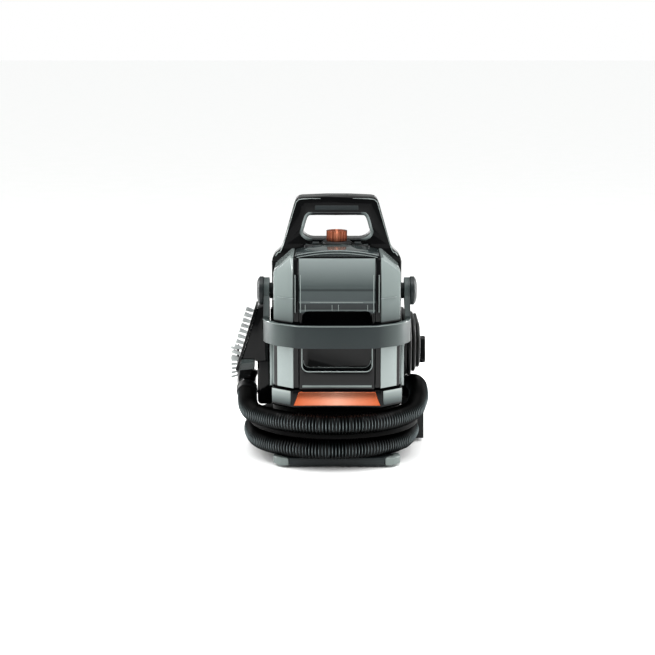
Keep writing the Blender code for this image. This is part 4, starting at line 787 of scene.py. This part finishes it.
for side in (-1, 1):
    linePath = smoothRoute([(side * x, y, z) for x, y, z in sideRoute], arch["lineSteps"])
    lineRadii = []
    for k in range(len(linePath)):
        # full size most of the way, thinning where it runs out under the grip
        left = (len(linePath) - 1 - k) / (1.6 * arch["lineSteps"])
        lineRadii.append(arch["lineRadius"] * min(1.0, arch["lineTip"] + left))
    archLines.append(ribbedTube("archLine", linePath, lineRadii, 8))
placed(joined(archLines), "archEdgeHighlights", "base", finishes["facet"])
openingTop = archHigh[2] - arch["gripThickness"]
openingLow = openingTop - arch["openingHeight"]
half, topHalf = arch["openingHalf"], arch["openingTopHalf"]
lipCorners = [
    (0.0, openingLow), (half - 0.0190, openingLow), (half - 0.0070, openingLow + 0.0035),
    (half - 0.0010, openingLow + 0.0110), (half - 0.0032, openingLow + 0.0200),
    (topHalf + 0.0020, openingTop - 0.0080), (topHalf - 0.0015, openingTop - 0.0020),
    (topHalf - 0.0090, openingTop), (0.0, openingTop),
]
# a rounded lip round the opening, its pale sides painted highlights
lips = []
for side in (-1, 1):
    lipPath = smoothRoute([(side * x, archLow[1] + 0.0004, z) for x, z in lipCorners], arch["lineSteps"])
    lips.append(ribbedTube("openingLip", lipPath, [arch["lip"]] * len(lipPath), 12))
placed(joined(lips), "openingLip", "base", finishes["lip"])
# a soft grey insert under the grip, its grey also standing in for the soft highlight on the grip's underside
gripInsert = block((-arch["gripHalf"], archLow[1] - 0.0006, openingTop + arch["gripRise"][0]),
                   (arch["gripHalf"], archLow[1] + 0.0020, openingTop + arch["gripRise"][1]))
bevelled(gripInsert, 0.0036, 5)
placed(gripInsert, "gripInsert", "base", finishes["grip"])

# the bail: a light line along the front of its top edge, a painted highlight
bailLine = {"nearFront": 0.0005, "nearTop": 0.0006, "drop": 0.0007, "radius": 0.0008}
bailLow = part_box("bail_handle")[0]
bailVertices = [v.co for v in nodes["bail_handle"].data.vertices]
bailTop = max(v.z for v in bailVertices if v.y < bailLow[1] + bailLine["nearFront"])
topPoints = [v for v in bailVertices if abs(v.z - bailTop) < bailLine["nearTop"]]
bailOutline = []
for point in sorted(topPoints, key=lambda v: (v.x, v.y)):
    # keeps only the points that bulge forwards: the outer edge of the band
    while len(bailOutline) > 1:
        first, second = bailOutline[-2], bailOutline[-1]
        if (second.x - first.x) * (point.y - first.y) - (second.y - first.y) * (point.x - first.x) > 0:
            break
        bailOutline.pop()
    bailOutline.append(point)
bailEdge = tubeAlong([(v.x, v.y, v.z - bailLine["drop"]) for v in bailOutline], bailLine["radius"], 8)
placed(bailEdge, "bailEdgeHighlight", bodyOf["bail_handle"], finishes["facet"])

# a light line down each side of the recovery tank, a painted highlight on its outer edge
for side, word in ((-1, "left"), (1, "right")):
    nearY, farY = [tankFront + trimSize["facetDepth"] + setback for setback in trimSize["sideSetback"]]
    line = block((tankHigh[0] - 0.0010, nearY, tankLow[2] + trimSize["sideLow"]),
                 (tankHigh[0] + 0.0005, farY, tankLow[2] + trimSize["columnHigh"]))
    line.location.x = 0 if side > 0 else tankLow[0] - tankHigh[0]
    bevelled(line, 0.0003, 2)
    placed(line, word + "TankSideHighlight", "recovery_tank", finishes["silver"])

# the water tank: a moulded frame on its back and fill marks on both sides
waterLow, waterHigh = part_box("clean_tank")
waterTrim = {"inset": 0.022, "corner": 0.010, "radius": 0.0010, "ticks": 6, "firstTick": 0.012,
             "tickGap": 0.020, "tickSetback": 0.030, "longTick": 0.012, "shortTick": 0.007}
panelLow = (waterLow[0] + waterTrim["inset"], waterLow[2] + waterTrim["inset"])
panelHigh = (waterHigh[0] - waterTrim["inset"], waterHigh[2] - 1.6 * waterTrim["inset"])
panelPoints = []
for cornerX, cornerZ, start in ((1, 1, 0), (0, 1, 90), (0, 0, 180), (1, 0, 270)):
    centreX = (panelLow[0] + waterTrim["corner"], panelHigh[0] - waterTrim["corner"])[cornerX]
    centreZ = (panelLow[1] + waterTrim["corner"], panelHigh[1] - waterTrim["corner"])[cornerZ]
    for k in range(7):
        angle = math.radians(start + 15 * k)
        panelPoints.append((centreX + waterTrim["corner"] * math.cos(angle), waterHigh[1] - 0.0004,
                            centreZ + waterTrim["corner"] * math.sin(angle)))
panelPoints.append(panelPoints[0])
waterLines = [tubeAlong(panelPoints, waterTrim["radius"], 8)]
for k in range(waterTrim["ticks"]):
    z = panelLow[1] + waterTrim["firstTick"] + waterTrim["tickGap"] * k
    reach = waterTrim["longTick"] if k % 2 == 0 else waterTrim["shortTick"]
    tickEnd = waterHigh[1] - waterTrim["tickSetback"]
    for edge in (waterLow[0], waterHigh[0]):
        tick = block((edge - 0.0006, tickEnd - reach, z - 0.0005), (edge + 0.0005, tickEnd, z + 0.0005))
        bevelled(tick, 0.0002, 2)
        waterLines.append(tick)
placed(joined(waterLines), "waterTankLines", "clean_tank", finishes["facet"])

# ribbed collars on the tank's pivot pins
collar = {"rings": 4, "first": 0.0012, "pitch": 0.0016, "radius": 0.0120, "thickness": 0.0006}
pivotLow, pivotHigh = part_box("pivot_pin_right")
pivotY, pivotZ = [(pivotLow[axis] + pivotHigh[axis]) / 2 for axis in (1, 2)]
for side, word in ((-1, "left"), (1, "right")):
    rings = []
    for k in range(collar["rings"]):
        x = side * (pivotLow[0] + collar["first"] + collar["pitch"] * k)
        rings.append(ringBand(collar["radius"], collar["thickness"], (x, pivotY, pivotZ)))
    placed(joined(rings), word + "PivotRibs", "recovery_tank", finishes["slate"])
print("tank trim made")


# the tool's brush: filaments in tufts, in rows that fall away towards the back of the head
brushLow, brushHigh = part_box("brush_plate")
bristleLow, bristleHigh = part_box("brush_bristles")
edgeLow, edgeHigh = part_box("edge_brush")
brush = {"rows": 10, "columns": 6, "perTuft": 46, "length": 0.0120, "spread": 0.0029, "tip": 0.0010,
         "hair": 0.00030, "slant": 0.19, "first": 0.001, "margin": 0.003, "seed": 7}
edgeHairs = {"rows": 8, "columns": 4, "perTuft": 16, "spread": 0.0014, "length": 0.0112, "lean": 0.006,
             "uneven": 0.0024, "flare": 1.5, "holderEnd": 0.004, "holderBack": 0.002, "bed": 0.0007}
brushTop = Vector((brushHigh[0] - 0.0038, 0, brushHigh[2]))
brushFoot = Vector((brushLow[0], 0, brushLow[2] + 0.0012))
brushDown = (brushFoot - brushTop).normalized()
brushOut = Vector((brushDown.z, 0, -brushDown.x))
dice = random.Random(brush["seed"])
tufts = bmesh.new()


def hairAt(root, tip, radius):
    # one filament as a thin three-sided spike
    along = (tip - root).normalized()
    side = along.orthogonal().normalized()
    other = along.cross(side)
    foot, head = [], []
    for k in range(3):
        angle = math.tau * k / 3
        offset = math.cos(angle) * side + math.sin(angle) * other
        foot.append(tufts.verts.new(root + offset * radius))
        head.append(tufts.verts.new(tip + offset * radius * 0.7))
    for k in range(3):
        after = (k + 1) % 3
        tufts.faces.new((foot[k], foot[after], head[after], head[k]))
    tufts.faces.new(list(reversed(foot)))
    tufts.faces.new(head)


rowFall = brush["slant"] * (bristleHigh[1] - bristleLow[1])
brushSpan = (brushFoot - brushTop).length - brush["margin"] - rowFall
for row in range(brush["rows"]):
    for column in range(brush["columns"]):
        down = brush["first"] + brushSpan * (row + 0.5) / brush["rows"]
        middle = brushTop + brushDown * down + brushOut * 0.0005
        middle.y = bristleLow[1] + (bristleHigh[1] - bristleLow[1]) * (column + 0.5) / brush["columns"]
        middle += brushDown * (brush["slant"] * (middle.y - bristleLow[1]))
        for k in range(brush["perTuft"]):
            angle = dice.random() * math.tau
            reach = math.sqrt(dice.random())
            offset = brushDown * (math.cos(angle) * reach) + Vector((0, 1, 0)) * (math.sin(angle) * reach)
            root = middle + offset * brush["spread"] * 0.8
            stand = brushOut * (brush["length"] * dice.uniform(0.93, 1.0))
            tip = middle + offset * (brush["spread"] + brush["tip"] * 0.6) + stand
            hairAt(root, tip, brush["hair"])
edgeSpan = edgeHigh[2] - edgeLow[2] - 2 * edgeHairs["lean"]
for row in range(edgeHairs["rows"]):
    for column in range(edgeHairs["columns"]):
        y = edgeLow[1] + (edgeHigh[1] - edgeLow[1]) * (column + 0.5) / edgeHairs["columns"]
        z = edgeLow[2] + edgeHairs["lean"] + edgeSpan * (row + 0.5) / edgeHairs["rows"]
        z -= brush["slant"] * (y - edgeLow[1])
        root = Vector((edgeLow[0] + edgeHairs["length"], y, z))
        lean = (row / (edgeHairs["rows"] - 1) - 0.5) * edgeHairs["lean"]
        for k in range(edgeHairs["perTuft"]):
            angle = dice.random() * math.tau
            reach = edgeHairs["spread"] * math.sqrt(dice.random())
            offset = Vector((0, math.cos(angle) * reach, math.sin(angle) * reach))
            end = Vector((edgeLow[0] + edgeHairs["uneven"] * dice.random(), y, z + lean))
            hairAt(root + offset * 0.8, end + offset * edgeHairs["flare"], brush["hair"])
bmesh.ops.recalc_face_normals(tufts, faces=tufts.faces)
tuftData = bpy.data.meshes.new("brushTufts")
tufts.to_mesh(tuftData)
tufts.free()
tuftPiece = bpy.data.objects.new("brushTufts", tuftData)
bpy.context.scene.collection.objects.link(tuftPiece)
placed(tuftPiece, "brushTufts", "base", finishes["bristle"], 60)
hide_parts("brush_bristles", "edge_brush")
holder = block((edgeLow[0] + edgeHairs["length"] - 0.001, edgeLow[1], edgeLow[2] + edgeHairs["holderEnd"]),
               (edgeHigh[0] - edgeHairs["holderBack"], edgeHigh[1], edgeHigh[2] - edgeHairs["holderEnd"]))
bevelled(holder, 0.0012, 3)
placed(holder, "edgeBrushHolder", "base", finishes["gloss"])
length = (brushFoot - brushTop).length
bed = block((-length / 2, bristleLow[1], 0), (length / 2, bristleHigh[1], edgeHairs["bed"]))
bevelled(bed, 0.0002, 2)
bed.rotation_euler = (0, math.atan2(-brushDown.z, brushDown.x), 0)
bed.location = (brushTop + brushFoot) / 2
placed(bed, "tuftBed", "base", finishes["satin"])
print("brush tufts made")

# a cradle on the deck's side that the parked tool leans on
cradle = {"x": (-0.1240, -0.0990), "y": (-0.0460, -0.0180), "z": (0.0770, 0.1560), "round": 0.006}
toolCradle = block(*zip(cradle["x"], cradle["y"], cradle["z"]))
bevelled(toolCradle, cradle["round"], 4)
placed(toolCradle, "toolCradle", "base", finishes["gloss"])


# the studio: a pale floor, an even white surround and soft boxes
studio = {"floorSize": 80.0, "roomLight": 0.30, "overhead": 2.4, "overheadAngle": 80}
deselectAll()
bpy.ops.mesh.primitive_plane_add(size=studio["floorSize"])
floor = bpy.context.object
floor.name = "studioFloor"
floorSurface, floorShader = newMaterial("paleStudioFloor", Roughness=0.7)
floorPlace = add(floorSurface, "ShaderNodeTexCoord")
floorGrain = add(floorSurface, "ShaderNodeTexNoise", [("Vector", floorPlace, "Object")], Scale=9.0)
floorColour = add(floorSurface, "ShaderNodeValToRGB", [("Fac", floorGrain, "Fac")],
                  [(0.3, "#fcfdfc"), (0.7, "#fefefe")])
feed(floorSurface, floorShader, ("Base Color", floorColour, "Color"))
floor.data.materials.append(floorSurface)

world = bpy.data.worlds.new("softStudio")
bpy.context.scene.world = world
world.use_nodes = True
dimRoom = world.node_tree.nodes["Background"]
dimRoom.inputs["Color"].default_value = linear("#f3f5f4")
dimRoom.inputs["Strength"].default_value = studio["roomLight"]
whiteWall = add(world, "ShaderNodeBackground", Color=linear("#ffffff"), Strength=1.0)
seenDirectly = add(world, "ShaderNodeLightPath")
wallMix = add(world, "ShaderNodeMixShader", [("Fac", seenDirectly, "Is Camera Ray"),
                                             (1, dimRoom, "Background"), (2, whiteWall, "Background")])
feed(world, world.node_tree.nodes["World Output"], ("Surface", wallMix, "Shader"))
bpy.context.scene.view_settings.view_transform = "Standard"

lamps = {
    # name: (place, aim, size, size up, watts)
    "keySoftbox": ((-1.7, -1.5, 1.2), (0, 0, 0.2), 0.6, 1.4, 20),
    "fillSoftbox": ((1.8, -1.5, 1.1), (0, 0, 0.2), 0.5, 1.4, 16),
    "topSoftbox": ((0.0, -0.5, 2.0), (0, 0, 0.2), 1.8, 0.4, 20),
    "leftStrip": ((-1.3, 0.7, 0.6), (0, 0, 0.25), 0.22, 1.4, 24),
    "rightStrip": ((1.3, 0.7, 0.6), (0, 0, 0.25), 0.22, 1.4, 24),
}
bpy.ops.object.light_add(type="SUN", location=(0, 0, 3))
skylight = bpy.context.object
skylight.name = "overheadDiffuser"
skylight.data.energy = studio["overhead"]
skylight.data.angle = math.radians(studio["overheadAngle"])
for name, (place, aim, sizeX, sizeY, watts) in lamps.items():
    bpy.ops.object.light_add(type="AREA", location=place)
    lamp = bpy.context.object
    lamp.name = name
    lamp.data.shape = "RECTANGLE"
    lamp.data.size = sizeX
    lamp.data.size_y = sizeY
    lamp.data.energy = watts
    lamp.rotation_euler = (Vector(aim) - Vector(place)).to_track_quat("-Z", "Y").to_euler()
print("studio lit")
